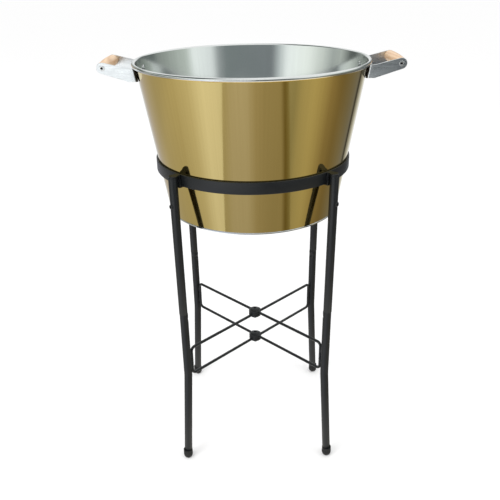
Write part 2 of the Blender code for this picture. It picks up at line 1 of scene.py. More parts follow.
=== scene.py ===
# %% [markdown]
# # A gold drink tub on a folding stand
#
# The object is a steel tub for ice and bottles. Its outside is gold, its inside and its rim are
# bare steel, and it has a handle with a wooden grip at each side. It hangs in a flat black hoop on
# four bent tube legs, and crossed wires with two pivots hold the legs together.
#
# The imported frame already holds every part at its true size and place. This script makes a finer
# piece for each part, with rounded edges and its own finish, and lets it ride on the body that it
# belongs to.

# %% Load the frame and note its size
import math

import bmesh
import bpy
from mathutils import Matrix, Vector


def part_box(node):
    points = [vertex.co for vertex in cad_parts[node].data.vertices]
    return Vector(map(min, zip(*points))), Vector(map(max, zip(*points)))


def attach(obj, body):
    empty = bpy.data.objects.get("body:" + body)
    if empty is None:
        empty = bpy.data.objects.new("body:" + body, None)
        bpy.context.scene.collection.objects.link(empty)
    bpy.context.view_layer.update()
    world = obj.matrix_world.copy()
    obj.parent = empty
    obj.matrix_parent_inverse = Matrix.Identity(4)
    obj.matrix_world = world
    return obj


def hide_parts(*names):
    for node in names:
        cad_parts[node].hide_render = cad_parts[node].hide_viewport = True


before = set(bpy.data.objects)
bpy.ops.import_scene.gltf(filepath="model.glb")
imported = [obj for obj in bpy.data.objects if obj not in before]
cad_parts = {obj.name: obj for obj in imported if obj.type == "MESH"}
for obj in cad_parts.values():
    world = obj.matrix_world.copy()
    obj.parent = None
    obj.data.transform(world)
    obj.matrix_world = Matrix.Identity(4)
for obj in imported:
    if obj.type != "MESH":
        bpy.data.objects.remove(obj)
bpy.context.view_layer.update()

# %% [markdown]
# ## Sizes
#
# Most sizes are read from the frame's boxes, so the pieces keep to it when it changes. A box can't
# tell a sheet's thickness or a bend's radius, so those few are named here.

# %% Read the sizes that the pieces share
GAP = 0.0003  # between pieces that touch
MERGE = 0.000002
TURN_STEPS = 144  # round the tub and the hoop
SMALL_STEPS = 32  # round screws, pins and feet

SHEET = 0.0010  # the tub wall's thickness
WALL_LEAN = math.radians(9.4)
BEAD_RADIUS = 0.0034
LEG_RADIUS = 0.0077
LEG_WALL = 0.0012

tub_low, tub_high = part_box("tub_wall")
RIM_RADIUS = tub_high.x
BEAD_CENTRE = Vector((RIM_RADIUS - BEAD_RADIUS, 0, tub_high.z - BEAD_RADIUS))
SIDES = {"right": 0, "left": 180}
LEGS = {
    "front_left": (225, "frame_a"),
    "back_right": (45, "frame_a"),
    "front_right": (315, "frame_b"),
    "back_left": (135, "frame_b"),
}


def inside_radius(height):
    """Inside of the tub's wall, which runs up into the rim bead without a step."""
    drop = BEAD_CENTRE.z + BEAD_RADIUS * math.sin(WALL_LEAN) - height
    return BEAD_CENTRE.x - BEAD_RADIUS * math.cos(WALL_LEAN) - drop * math.tan(WALL_LEAN)


def outside_radius(height):
    return inside_radius(height) + SHEET / math.cos(WALL_LEAN)


def turn_z(degrees):
    return Matrix.Rotation(math.radians(degrees), 4, "Z")


print(f"rim radius {RIM_RADIUS:.4f} m, tub from {tub_low.z:.4f} to {tub_high.z:.4f} m")

# %% [markdown]
# ## Finishes
#
# A finish is a material whose colour, gloss and fine relief come from noise, so that no stretch of
# it is quite like the next. The tub is rolled and brushed steel, so its noise is drawn out into
# faint upright streaks: the coordinate is the point's direction from the axis, which changes fast
# round the wall, and only a little of its height.

# %% Helpers for node-based finishes


def new_finish(name, roughness, metallic=0.0, specular=0.5):
    """A new material and its Principled shader, with the values that are the same all over."""
    finish = bpy.data.materials.new(name)
    finish.use_nodes = True
    shader = finish.node_tree.nodes["Principled BSDF"]
    shader.inputs["Roughness"].default_value = roughness
    shader.inputs["Metallic"].default_value = metallic
    shader.inputs["Specular IOR Level"].default_value = specular
    return finish, shader


def add_node(finish, kind, settings=None, **inputs):
    """Adds a node. Its inputs are named with underscores, and take a value or another node's output."""
    tree = finish.node_tree
    made = tree.nodes.new(kind)
    for key, value in (settings or {}).items():
        setattr(made, key, value)
    for key, value in inputs.items():
        socket = made.inputs[key.replace("_", " ")]
        if isinstance(value, bpy.types.NodeSocket):
            tree.links.new(value, socket)
        else:
            socket.default_value = value
    return made


def scaled_place(finish, scale):
    """The point's own place, stretched by a different factor along each axis."""
    place = add_node(finish, "ShaderNodeTexCoord").outputs["Object"]
    return add_node(finish, "ShaderNodeMapping", Vector=place, Scale=scale).outputs["Vector"]


def round_place(finish, around, along):
    """A coordinate for turned sheet: direction from the Z axis times around, height times along."""
    kind = "ShaderNodeVectorMath"
    flat = scaled_place(finish, (1, 1, 0))
    outward = add_node(finish, kind, {"operation": "NORMALIZE"}, Vector=flat).outputs[0]
    spread = add_node(finish, kind, {"operation": "SCALE"}, Vector=outward, Scale=around)
    height = scaled_place(finish, (0, 0, along))
    total = add_node(finish, kind, {"operation": "ADD"}, Vector=spread.outputs[0])
    finish.node_tree.links.new(height, total.inputs[1])
    return total.outputs[0]


def noise(finish, place, scale, detail=3.0, roughness=0.5):
    return add_node(
        finish, "ShaderNodeTexNoise", Vector=place, Scale=scale, Detail=detail, Roughness=roughness
    ).outputs["Fac"]


def ranged(finish, value, low, high, start=0.3, end=0.7):
    """Maps a noise value to the range from low to high."""
    return add_node(
        finish, "ShaderNodeMapRange", Value=value, From_Min=start, From_Max=end, To_Min=low, To_Max=high
    ).outputs["Result"]


def blended(finish, share, first, second):
    """Blends two colours by a share from 0 to 1."""
    ramp = add_node(finish, "ShaderNodeValToRGB", Fac=share)
    ramp.color_ramp.elements[0].color = (*first, 1)
    ramp.color_ramp.elements[1].color = (*second, 1)
    return ramp.outputs["Color"]


def connect(finish, shader, colour=None, roughness=None, height=None, depth=0.0):
    """Feeds the shader's colour and gloss, and its relief with a height in metres."""
    links = finish.node_tree.links
    if colour:
        links.new(colour, shader.inputs["Base Color"])
    if roughness:
        links.new(roughness, shader.inputs["Roughness"])
    if height:
        bump = add_node(finish, "ShaderNodeBump", Height=height, Distance=depth)
        links.new(bump.outputs["Normal"], shader.inputs["Normal"])


# %% [markdown]
# The gold is a thin coloured layer on polished steel: fully metallic and fairly glossy, with faint
# upright streaks and some cloudiness that changes the gloss. The bare steel inside is the same
# sheet without the layer, duller, with the same streaks.

# %% Finishes of the tub's sheet


def sheet_finish(name, dark, light, smooth, rough, relief):
    finish, shader = new_finish(name, smooth, metallic=1.0)
    streaks = noise(finish, round_place(finish, 16.0, 0.8), 4.0, detail=4.0, roughness=0.6)
    clouds = noise(finish, scaled_place(finish, (1, 1, 1)), 16.0, detail=2.0)
    colour = blended(finish, ranged(finish, streaks, 0.0, 1.0), dark, light)
    gloss = ranged(finish, clouds, smooth, rough)
    fine = noise(finish, round_place(finish, 190.0, 3.0), 4.0, detail=2.0)
    connect(finish, shader, colour, gloss, fine, relief)
    return finish


gold = sheet_finish(
    "gold_on_steel",
    dark=(0.625, 0.475, 0.165),
    light=(0.655, 0.500, 0.178),
    smooth=0.055,
    rough=0.080,
    relief=0.000002,
)
steel = sheet_finish(
    "bare_sheet_steel",
    dark=(0.635, 0.65, 0.64),
    light=(0.665, 0.68, 0.67),
    smooth=0.10,
    rough=0.16,
    relief=0.0000015,
)

# %% [markdown]
# The brackets are galvanised strip: a duller grey zinc with a soft mottling of crystals. Pins and
# rivets are plain bright steel. A pin is a tube, and the shade in its bore is painted: the bore gets
# a near-black, dull finish of painted shade, which the wall side of each bracket bend shares.

# %% Finishes of the handles' metal


def zinc_finish():
    finish, shader = new_finish("galvanised_strip", 0.24, metallic=1.0)
    place = scaled_place(finish, (1, 1, 1))
    crystals = add_node(finish, "ShaderNodeTexVoronoi", Vector=place, Scale=260.0).outputs["Color"]
    tone = add_node(finish, "ShaderNodeSeparateColor", Color=crystals).outputs["Red"]
    colour = blended(finish, tone, (0.655, 0.675, 0.685), (0.69, 0.71, 0.715))
    scratches = noise(finish, scaled_place(finish, (40, 300, 300)), 1.0, detail=2.0)
    gloss = ranged(finish, scratches, 0.26, 0.31)
    connect(finish, shader, colour, gloss, scratches, depth=0.0000005)
    return finish


def rivet_finish():
    finish, shader = new_finish("bright_rivet_steel", 0.22, metallic=1.0)
    marks = noise(finish, scaled_place(finish, (1, 1, 1)), 900.0, detail=3.0)
    colour = blended(finish, marks, (0.60, 0.61, 0.61), (0.78, 0.79, 0.79))
    connect(finish, shader, colour, ranged(finish, marks, 0.16, 0.32), marks, depth=0.00002)
    return finish


def painted_shade_finish():
    finish, shader = new_finish("painted_shade_steel", 0.7, metallic=0.4)
    shade_mottle = noise(finish, scaled_place(finish, (1, 1, 1)), 700.0, detail=3.0)
    # Near-black colour: painted shade for the bores and the wall side of the bends.
    colour = blended(finish, shade_mottle, (0.006, 0.006, 0.006), (0.020, 0.019, 0.018))
    connect(finish, shader, colour, ranged(finish, shade_mottle, 0.6, 0.8))
    return finish


zinc = zinc_finish()
bright = rivet_finish()
painted_shade = painted_shade_finish()

# %% [markdown]
# The stand is powder coated. Powder melts into a satin skin with a fine orange-peel relief, so the
# coat gets a small noise in its relief and gloss, and a larger one that varies its grey very
# little. The feet are rubber: darker, almost without gloss, with a fine grain.

# %% Finishes of the stand


def coat_finish():
    finish, shader = new_finish("black_powder_coat", 0.42, specular=0.4)
    place = scaled_place(finish, (1, 1, 1))
    peel = noise(finish, place, 700.0, detail=2.0)
    wide = noise(finish, place, 30.0, detail=2.0)
    colour = blended(finish, wide, (0.0050, 0.0062, 0.0070), (0.0095, 0.0107, 0.0115))
    connect(finish, shader, colour, ranged(finish, wide, 0.34, 0.46), peel, depth=0.00006)
    return finish


def rubber_finish():
    finish, shader = new_finish("foot_rubber", 0.7, specular=0.35)
    place = scaled_place(finish, (1, 1, 1))
    grain = noise(finish, place, 1500.0, detail=3.0)
    dust = noise(finish, place, 160.0, detail=3.0)
    dusty = ranged(finish, dust, 0.0, 1.0)
    colour = blended(finish, dusty, (0.010, 0.010, 0.010), (0.022, 0.022, 0.021))
    connect(finish, shader, colour, ranged(finish, grain, 0.60, 0.78), grain, depth=0.00005)
    return finish


coat = coat_finish()
rubber = rubber_finish()

# %% [markdown]
# The grips are turned from a pale wood. Its rings are a wave that noise bends, drawn out along the
# grip because the grain runs lengthways, and short fine pores lie over them. A thin clear varnish
# gives it a low sheen.

# %% Finish of the grips


def wood_finish():
    finish, shader = new_finish("varnished_beech", 0.42)
    shader.inputs["Coat Weight"].default_value = 0.25
    shader.inputs["Coat Roughness"].default_value = 0.25
    drawn = scaled_place(finish, (60, 7, 60))
    rings = add_node(
        finish,
        "ShaderNodeTexWave",
        {"wave_type": "BANDS", "bands_direction": "DIAGONAL"},
        Vector=drawn,
        Scale=1.1,
        Distortion=5.0,
        Detail=3.0,
        Detail_Scale=0.8,
    ).outputs["Fac"]
    pores = noise(finish, scaled_place(finish, (1500, 90, 1500)), 1.0, detail=3.0)
    soft = blended(finish, rings, (0.66, 0.405, 0.215), (0.80, 0.555, 0.335))
    pale = add_node(finish, "ShaderNodeMix", {"data_type": "RGBA", "blend_type": "MULTIPLY"})
    links = finish.node_tree.links
    links.new(ranged(finish, pores, 0.0, 0.35, 0.55, 0.8), pale.inputs["Factor"])
    links.new(soft, pale.inputs[6])
    pale.inputs[7].default_value = (0.62, 0.48, 0.36, 1)
    gloss = ranged(finish, pores, 0.38, 0.50)
    connect(finish, shader, pale.outputs[2], gloss, pores, depth=0.00004)
    return finish


wood = wood_finish()
print("finishes:", ", ".join(finish.name for finish in (gold, steel, zinc, bright, coat, rubber, wood)))

# %% [markdown]
# ## From a bmesh to a piece
#
# Every piece takes the same last steps. Doubles are merged and the faces turned outwards, the mesh
# is shaded smooth but for its sharp edges, and then the piece is put on the body it rides on, and
# the frame node that it stands for is hidden.

# %% The helper that finishes a piece


def piece_from(work, name, finishes, body, node, sharp=32):
    """Makes an object of a bmesh, gives it its finishes and body, and hides the frame node it replaces.
    """
    bmesh.ops.remove_doubles(work, verts=work.verts, dist=MERGE)
    bmesh.ops.recalc_face_normals(work, faces=work.faces)
    mesh = bpy.data.meshes.new(name)
    work.to_mesh(mesh)
    work.free()
    mesh.shade_smooth()
    mesh.set_sharp_from_angle(angle=math.radians(sharp))
    piece = bpy.data.objects.new(name, mesh)
    bpy.context.scene.collection.objects.link(piece)
    for finish in finishes:
        mesh.materials.append(finish)
    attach(piece, body)
    if node:
        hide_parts(node)
    print(f"{name}: {len(mesh.polygons)} faces")
    return piece


SHARP_EDGE = math.radians(38)  # an edge that turns more than this is rounded


def soften(piece, width, segments=2):
    """Rounds a piece's sharp edges."""
    bevel = piece.modifiers.new("soft_edges", "BEVEL")
    bevel.width = width
    bevel.segments = segments
    bevel.limit_method = "ANGLE"
    bevel.angle_limit = SHARP_EDGE
    bevel.harden_normals = False
    return piece


# %% [markdown]
# ## Turned shapes
#
# A rim, a hoop, a foot or a rivet is a section turned about an axis. The section is a closed loop
# of a few corners, and each corner that needs it is rounded with a vertex bevel before the loop is
# spun.

# %% Helpers for turned shapes
CORNER_STEPS = 4


def section(work, corners):
    """A closed loop in the XZ plane of (radius, height, rounding) corners."""
    verts = [work.verts.new((radius, 0, height)) for radius, height, _ in corners]
    for first, second in zip(verts, verts[1:] + verts[:1]):
        work.edges.new((first, second))
    for vert, (_, _, rounding) in zip(verts, corners):
        if rounding:
            bmesh.ops.bevel(
                work,
                geom=[vert],
                offset=rounding,
                offset_type="OFFSET",
                segments=CORNER_STEPS,
                profile=0.5,
                affect="VERTICES",
                material=-1,
            )


def turned(corners, steps, place=None):
    """Spins a section about the Z axis. A corner on the axis closes the shape there."""
    work = bmesh.new()
    section(work, corners)
    axis_edges = [e for e in work.edges if all(abs(v.co.x) < MERGE for v in e.verts)]
    bmesh.ops.delete(work, geom=axis_edges, context="EDGES_FACES")
    spin_round(work, steps)
    if place:
        bmesh.ops.transform(work, matrix=place, verts=work.verts)
    return work


def spin_round(work, steps):
    bmesh.ops.spin(
        work,
        geom=work.verts[:] + work.edges[:],
        cent=(0, 0, 0),
        axis=(0, 0, 1),
        angle=2 * math.pi,
        steps=steps,
        use_merge=True,
    )
    bmesh.ops.remove_doubles(work, verts=work.verts, dist=MERGE)


# %% [markdown]
# ## The tub's wall
#
# The real wall is one sheet, rolled to a cone. Its top edge is curled outwards nearly full circle,
# which stiffens it, and its bottom edge is seamed to the floor with a low bare band. Because the
# sheet is curled outwards, the bead shows the sheet's inner side, and so it is bare steel and not
# gold.
#
# The curl is two arcs, one for each side of the sheet. Spinning a single vertex about the bead's
# centre draws an arc, and joining the arcs and running both lines down the wall closes the section.

# %% Tub wall
CURL_SWEEP = math.radians(292)
CURL_STEPS = 30
HEM_HEIGHT = 0.0020
HEM_PROUD = 0.0005
CREASE_DEPTH = 0.0006
CREASE_HEIGHT = 0.0011
HEM_WIDTH = 0.0034


def arc_from(work, start):
    """Spins one vertex round the bead's centre and returns the arc's last vertex."""
    last = bmesh.ops.spin(
        work, geom=[start], cent=BEAD_CENTRE, axis=(0, 1, 0), angle=CURL_SWEEP, steps=CURL_STEPS
    )["geom_last"]
    return next(item for item in last if isinstance(item, bmesh.types.BMVert))


def tub_wall():
    work = bmesh.new()
    across = Vector((-math.cos(WALL_LEAN), 0, math.sin(WALL_LEAN)))
    base, hem_top = tub_low.z, tub_low.z + HEM_HEIGHT
    outside = work.verts.new(BEAD_CENTRE + across * (BEAD_RADIUS - SHEET))
    inside = work.verts.new(BEAD_CENTRE + across * BEAD_RADIUS)
    work.edges.new((arc_from(work, outside), arc_from(work, inside)))
    proud = outside_radius(base) + HEM_PROUD
    crease_top = hem_top + CREASE_HEIGHT
    down = [
        (outside_radius(crease_top), crease_top),
        (outside_radius(crease_top) - CREASE_DEPTH, crease_top),
        (outside_radius(hem_top) - CREASE_DEPTH, hem_top),
        (proud - HEM_PROUD / 2, hem_top),
        (proud, hem_top - HEM_PROUD / 2),
        (proud, base),
        (proud - HEM_WIDTH, base),
        (proud - HEM_WIDTH, hem_top),
        (inside_radius(hem_top), hem_top),
    ]
    line = [outside] + [work.verts.new((radius, 0, height)) for radius, height in down] + [inside]
    for first, second in zip(line, line[1:]):
        work.edges.new((first, second))
    spin_round(work, TURN_STEPS)
    middle = SHEET / 2
    for face in work.faces:
        centre = face.calc_center_median()
        radius = math.hypot(centre.x, centre.y)
        on_wall = crease_top < centre.z < BEAD_CENTRE.z - BEAD_RADIUS / 2
        face.material_index = 0 if on_wall and radius > inside_radius(centre.z) + middle else 1
    return piece_from(work, "rolled_tub_wall", [gold, steel], "tub", "tub_wall", sharp=40)


tub_wall()

# %% [markdown]
# ## The tub's floor
#
# The floor is a flat plate. A shallow ring is pressed into it, which keeps the sheet from booming.
# The ring's corners are rounded, and the plate is spun from its section.

# %% Tub floor
FLOOR_SHEET = 0.0009
RING_PLACE = 0.68  # share of the floor's radius
RING_WIDTH = 0.0040
RING_HEIGHT = 0.0010
RING_FOOT_ROUNDING = 0.0015
RING_TOP_ROUNDING = 0.0010


def tub_floor():
    low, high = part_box("tub_floor")
    top, edge = high.z, high.x
    ring = edge * RING_PLACE
    upper = [
        (0, top, 0),
        (ring - RING_WIDTH, top, RING_FOOT_ROUNDING),
        (ring - RING_WIDTH / 2, top + RING_HEIGHT, RING_TOP_ROUNDING),
        (ring + RING_WIDTH / 2, top + RING_HEIGHT, RING_TOP_ROUNDING),
        (ring + RING_WIDTH, top, RING_FOOT_ROUNDING),
        (edge, top, 0),
    ]
    lower = [(radius, height - FLOOR_SHEET, rounding) for radius, height, rounding in upper[::-1]]
    work = turned(upper + lower, TURN_STEPS)
    return piece_from(work, "pressed_tub_floor", [steel], "tub", "tub_floor")


tub_floor()

# %% [markdown]
# ## Handle brackets
#
# Each bracket is one strip of galvanised steel. Its middle is curved to lie on the wall, and its
# two ends are bent outwards into arms that narrow to a round end about the grip. The strip is drawn
# in plan and pulled up into a solid, and a prism of the side outline trims it. Both are closed, so
# an intersection leaves a clean strip, and a small bevel takes the sharp edge off the sheared
# steel. A round prism then drills both arms for the pin.
#
# The side of each bend that faces the wall gets the near-black finish of the bores: painted
# shade, so that a dark slit shows between the arm and the tub.

# %% Helpers that cut one shape with another


def prism(outline_points, low, high, place):
    """A closed prism of a flat outline, from low to high along its own Z, moved to its place."""
    work = bmesh.new()
    verts = [work.verts.new((x, y, low)) for x, y in outline_points]
    face = work.faces.new(verts)
    top = bmesh.ops.extrude_face_region(work, geom=[face], use_keep_orig=True)["geom"]
    moved = [item for item in top if isinstance(item, bmesh.types.BMVert)]
    bmesh.ops.translate(work, verts=moved, vec=(0, 0, high - low))
    bmesh.ops.transform(work, matrix=place, verts=work.verts)
    bmesh.ops.recalc_face_normals(work, faces=work.faces)
    return work


def joined(work, other, operation):
    """The bmesh that a Boolean of two closed bmeshes leaves."""
    shapes = []
    for shape in (work, other):
        mesh = bpy.data.meshes.new("shape")
        shape.to_mesh(mesh)
        shape.free()
        shapes.append(bpy.data.objects.new("shape", mesh))
        bpy.context.scene.collection.objects.link(shapes[-1])
    cut = shapes[0].modifiers.new("cut", "BOOLEAN")
    cut.operation = operation
    cut.object = shapes[1]
    cut.solver = "EXACT"
    graph = bpy.context.evaluated_depsgraph_get()
    result = bmesh.new()
    result.from_mesh(shapes[0].evaluated_get(graph).to_mesh())
    for shape in shapes:
        bpy.data.objects.remove(shape)
    return result


def arc_points(centre, radius, start, end, count):
    """Points on an arc from start to end, in degrees."""
    turns = [math.radians(start + (end - start) * i / count) for i in range(count + 1)]
    return [(centre[0] + radius * math.cos(t), centre[1] + radius * math.sin(t)) for t in turns]


# %% Handle brackets
STRIP = 0.0018
STRIP_BEND = 0.0045
ROOT_DEPTH = 0.0220
ARM_END_RADIUS = 0.0092
PIN_RADIUS = 0.0028
BEND_SHADE = 0.3  # share of the bend's radius where its painted shade starts
BEND_STEPS = 10
ARC_STEPS = 24
ARM_END_FROM, ARM_END_TO = -75, 100  # degrees of the arm's round end
ROOT_TRIM = 0.0200  # how far inside the rim the trim starts
SHEARED_EDGE = 0.0004
RIM_CLEARANCE = 0.0006
ROOT_TOP = tub_high.z - 2 * BEAD_RADIUS - RIM_CLEARANCE
ROOT_MIDDLE = ROOT_TOP - ROOT_DEPTH / 2


def grip_place(side):
    """A grip's middle, from its frame box."""
    low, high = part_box(f"grip_{side}")
    return (low + high) / 2


def bend_centre(half_width):
    """The plan centre of the bend between the root and an arm."""
    across = half_width - STRIP_BEND
    reach = outside_radius(ROOT_MIDDLE) + GAP + STRIP_BEND
    return math.sqrt(reach**2 - across**2), across


def strip_plan(half_width, reach):
    inner = outside_radius(ROOT_MIDDLE) + GAP
    bend = bend_centre(half_width)
    swing = math.degrees(math.atan2(bend[1], bend[0]))
    wall_side = arc_points((0, 0), inner, -swing, swing, ARC_STEPS)[1:-1]
    grip_side = arc_points((0, 0), inner + STRIP, swing, -swing, ARC_STEPS)[1:-1]
    outer_bend = arc_points(bend, STRIP_BEND, swing + 180, 90, BEND_STEPS)
    inner_bend = arc_points(bend, STRIP_BEND - STRIP, 90, swing + 180, BEND_STEPS)
    arm = outer_bend + [(reach, half_width), (reach, half_width - STRIP)] + inner_bend
    other_arm = [(x, -y) for x, y in reversed(arm)]
    return wall_side + arm + grip_side + other_arm


def in_shaded_bend(point, bend):
    """Whether a point is on the side of a bend that faces the tub's wall, where shade is painted."""
    x = point.x - math.tan(WALL_LEAN) * (point.z - ROOT_MIDDLE) - bend[0]
    from_centre = math.hypot(x, abs(point.y) - bend[1])
    return x < -BEND_SHADE * STRIP_BEND and abs(from_centre - STRIP_BEND) < GAP


def handle_bracket(side, turn):
    middle = grip_place(side)
    low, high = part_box(f"handle_bracket_{side}")
    half_width = (high.y - low.y) / 2
    reach = abs(middle.x)
    plan = strip_plan(half_width, reach + 2 * ARM_END_RADIUS)
    strip = prism(plan, -2 * ROOT_DEPTH, 2 * ROOT_DEPTH, Matrix.Identity(4))
    lean = Matrix.Identity(4)
    lean[0][2] = math.tan(WALL_LEAN)
    bmesh.ops.transform(strip, matrix=Matrix.Translation((0, 0, ROOT_MIDDLE)) @ lean, verts=strip.verts)
    end = (reach, middle.z)
    root_bottom = ROOT_TOP - ROOT_DEPTH
    side_view = [(RIM_RADIUS - ROOT_TRIM, root_bottom), (RIM_RADIUS, root_bottom)]
    side_view += arc_points(end, ARM_END_RADIUS, ARM_END_FROM, ARM_END_TO, ARC_STEPS)
    side_view += [(RIM_RADIUS, ROOT_TOP), (RIM_RADIUS - ROOT_TRIM, ROOT_TOP)]
    stand_up = Matrix.Rotation(math.radians(90), 4, "X")
    trim = prism(side_view, -2 * half_width, 2 * half_width, stand_up)
    work = joined(strip, trim, "INTERSECT")
    bore = arc_points(end, PIN_RADIUS, 0, 349, SMALL_STEPS - 1)
    work = joined(work, prism(bore, -2 * half_width, 2 * half_width, stand_up), "DIFFERENCE")
    # Faces on the wall side of each bend get painted shade.
    for face in work.faces:
        in_shade = in_shaded_bend(face.calc_center_median(), bend_centre(half_width))
        face.material_index = 1 if in_shade else 0
    bmesh.ops.transform(work, matrix=turn_z(turn), verts=work.verts)
    name, node = f"bent_bracket_{side}", f"handle_bracket_{side}"
    piece = piece_from(work, name, [zinc, painted_shade], "tub", node, sharp=30)
    return soften(piece, SHEARED_EDGE)


for side, turn in SIDES.items():
    handle_bracket(side, turn)

# %% [markdown]
# ## Grips and their pins
#
# A grip is a turned wooden barrel, a little fuller in the middle, with softened ends. It turns on a
# hollow rivet, whose ends are flared over the arms: from the side it shows as a bright ring round a
# dark hole, whose dark is painted shade on the bore.

# %% Grips and pins
GRIP_EDGE = 0.0012
GRIP_SWELL = 0.0011
GRIP_BORE = 0.0032
GRIP_STATIONS = 10
ROUND_STEPS = 48  # round grips, bosses and bolts
PIN_BORE = 0.0020
PIN_HEAD_RADIUS = 0.0043
PIN_HEAD_HEIGHT = 0.0010
PIN_HEAD_ROUNDING = 0.0006
PIN_FLARE = 0.0004
PIN_MOUTH_ROUNDING = 0.0002
BORE_SHADE = 0.0004  # from the pin's end to where the bore's painted shade starts
LAY_ALONG_Y = Matrix.Rotation(math.radians(-90), 4, "X")


def wooden_grip(side):
    low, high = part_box(f"grip_{side}")
    half = (high.y - low.y) / 2
    fullest = (high.z - low.z) / 2
    outer = []
    for i in range(GRIP_STATIONS + 1):
        share = 1 - 2 * i / GRIP_STATIONS
        end_rounding = GRIP_EDGE if i in (0, GRIP_STATIONS) else 0
        outer.append((fullest - GRIP_SWELL * share**2, share * half, end_rounding))
    corners = [(GRIP_BORE, half, 0)] + outer + [(GRIP_BORE, -half, 0)]
    work = turned(corners, ROUND_STEPS, Matrix.Translation(grip_place(side)) @ LAY_ALONG_Y)
    return piece_from(work, f"turned_grip_{side}", [wood], f"grip_{side}", f"grip_{side}")


def hollow_pin(side):
    low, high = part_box(f"handle_pin_{side}")
    half = (high.y - low.y) / 2
    under = half - PIN_HEAD_HEIGHT
    upper = [
        (PIN_BORE, half - BORE_SHADE, 0),
        (PIN_BORE + PIN_FLARE, half, PIN_MOUTH_ROUNDING),
        (PIN_HEAD_RADIUS, half, PIN_HEAD_ROUNDING),
        (PIN_HEAD_RADIUS, under, 0),
        (PIN_RADIUS, under, 0),
    ]
    corners = upper + [(radius, -height, rounding) for radius, height, rounding in upper[::-1]]
    work = turned(corners, SMALL_STEPS)
    # The bore's faces get painted shade.
    for face in work.faces:
        middle = face.calc_center_median()
        in_shaded_bore = math.hypot(middle.x, middle.y) < PIN_BORE + MERGE
        face.material_index = 1 if in_shaded_bore else 0
    place = Matrix.Translation(grip_place(side)) @ LAY_ALONG_Y
    bmesh.ops.transform(work, matrix=place, verts=work.verts)
    name, node = f"hollow_pin_{side}", f"handle_pin_{side}"
    return piece_from(work, name, [bright, painted_shade], "tub", node)


for side in SIDES:
    wooden_grip(side)
    hollow_pin(side)

# %% [markdown]
# ## Rivets through the wall
#
# Two rivets hold each bracket. Each has a low dome on both sides of the sheet, and the heads inside
# the tub catch the light below the rim. A rivet stands square on the leaning wall, so its axis dips
# by the wall's lean.

# %% Wall rivets
RIVET_RADIUS = 0.0022
RIVET_HEAD_RADIUS = 0.0045
RIVET_HEAD_HEIGHT = 0.0018
RIVET_GRIP = SHEET + STRIP + 5 * GAP  # between the heads
DOME_STEPS = 8


def wall_rivet(node):
    low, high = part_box(node)
    middle = (low + high) / 2
    azimuth = math.atan2(middle.y, middle.x)
    outward = Matrix.Rotation(azimuth, 4, "Z") @ Matrix.Rotation(math.radians(90) + WALL_LEAN, 4, "Y")
    head_at = RIVET_GRIP / 2
    dome = arc_points((0, head_at), RIVET_HEAD_RADIUS, 90, 0, DOME_STEPS)
    squash = RIVET_HEAD_HEIGHT / RIVET_HEAD_RADIUS
    upper = [(x, head_at + (z - head_at) * squash, 0) for x, z in dome]
    upper.append((RIVET_RADIUS, head_at, 0))
    corners = upper + [(radius, -height, 0) for radius, height, _ in upper[::-1]]
    work = turned(corners, SMALL_STEPS, Matrix.Translation(middle) @ outward)
    return piece_from(work, f"domed_{node}", [bright], "tub", node)


for side in SIDES:
    for end in ("front", "back"):
        wall_rivet(f"handle_rivet_{side}_{end}")

# %% [markdown]
# ## The hoop
#
# The hoop is flat bar rolled into a ring, so its section is a tall thin rectangle whose edges the
# mill has rounded.

# %% Hoop
HOOP_BAR = 0.0030
HOOP_OUTER_ROUNDING = 0.0008
HOOP_INNER_ROUNDING = 0.0006


def hoop():
    low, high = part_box("hoop")
    corners = [
        (high.x - HOOP_BAR, high.z, HOOP_INNER_ROUNDING),
        (high.x, high.z, HOOP_OUTER_ROUNDING),
        (high.x, low.z, HOOP_OUTER_ROUNDING),
        (high.x - HOOP_BAR, low.z, HOOP_INNER_ROUNDING),
    ]
    work = turned(corners, TURN_STEPS)
    return piece_from(work, "rolled_hoop", [coat], "hoop", "hoop")


hoop()

# %% [markdown]
# ## Bent tubes and wires
#
# Legs and braces are round stock bent to a path. A ring of vertices is pulled along each straight
# stretch and spun about the bend's centre at each corner, which is what a tube bender does.

# %% Helpers for tubes and wires


def pull(work, edges, step, rings=1):
    """Extrudes a ring of edges along a step, in equal lengths, and returns the last ring."""
    for _ in range(rings):
        moved = bmesh.ops.extrude_edge_only(work, edges=edges)["geom"]
        verts = [item for item in moved if isinstance(item, bmesh.types.BMVert)]
        bmesh.ops.translate(work, verts=verts, vec=step / rings)
        edges = [item for item in moved if isinstance(item, bmesh.types.BMEdge)]
    return edges


def swept(path, radius, sides, bend_steps=10):
    """A tube skin along a path of (point, bend radius, rings) stops."""
    work = bmesh.new()
    points = [Vector(point) for point, _, _ in path]
    headings = [(second - first).normalized() for first, second in zip(points, points[1:])]
    face_on = Matrix.Translation(points[0]) @ headings[0].to_track_quat("Z", "Y").to_matrix().to_4x4()
    bmesh.ops.create_circle(work, segments=sides, radius=radius, matrix=face_on)
    edges = work.edges[:]
    at = points[0]
    for i, (_, bend, rings) in enumerate(path[1:], start=1):
        if not bend:
            edges = pull(work, edges, points[i] - at, rings)
            at = points[i]
            continue
        before, after = headings[i - 1], headings[i]
        angle = before.angle(after)
        reach = bend * math.tan(angle / 2)
        edges = pull(work, edges, points[i] - before * reach - at, rings)
        axis = before.cross(after).normalized()
        centre = points[i] - before * reach + axis.cross(before) * bend
        ring = list({vert for edge in edges for vert in edge.verts}) + edges
        last = bmesh.ops.spin(work, geom=ring, cent=centre, axis=axis, angle=angle, steps=bend_steps)
        edges = [item for item in last["geom_last"] if isinstance(item, bmesh.types.BMEdge)]
        at = points[i] + after * reach
    return work


def close_ends(work):
    """Closes a tube skin's two open rings."""
    ends = [edge for edge in work.edges if edge.is_boundary]
    bmesh.ops.holes_fill(work, edges=ends, sides=0)
    return work


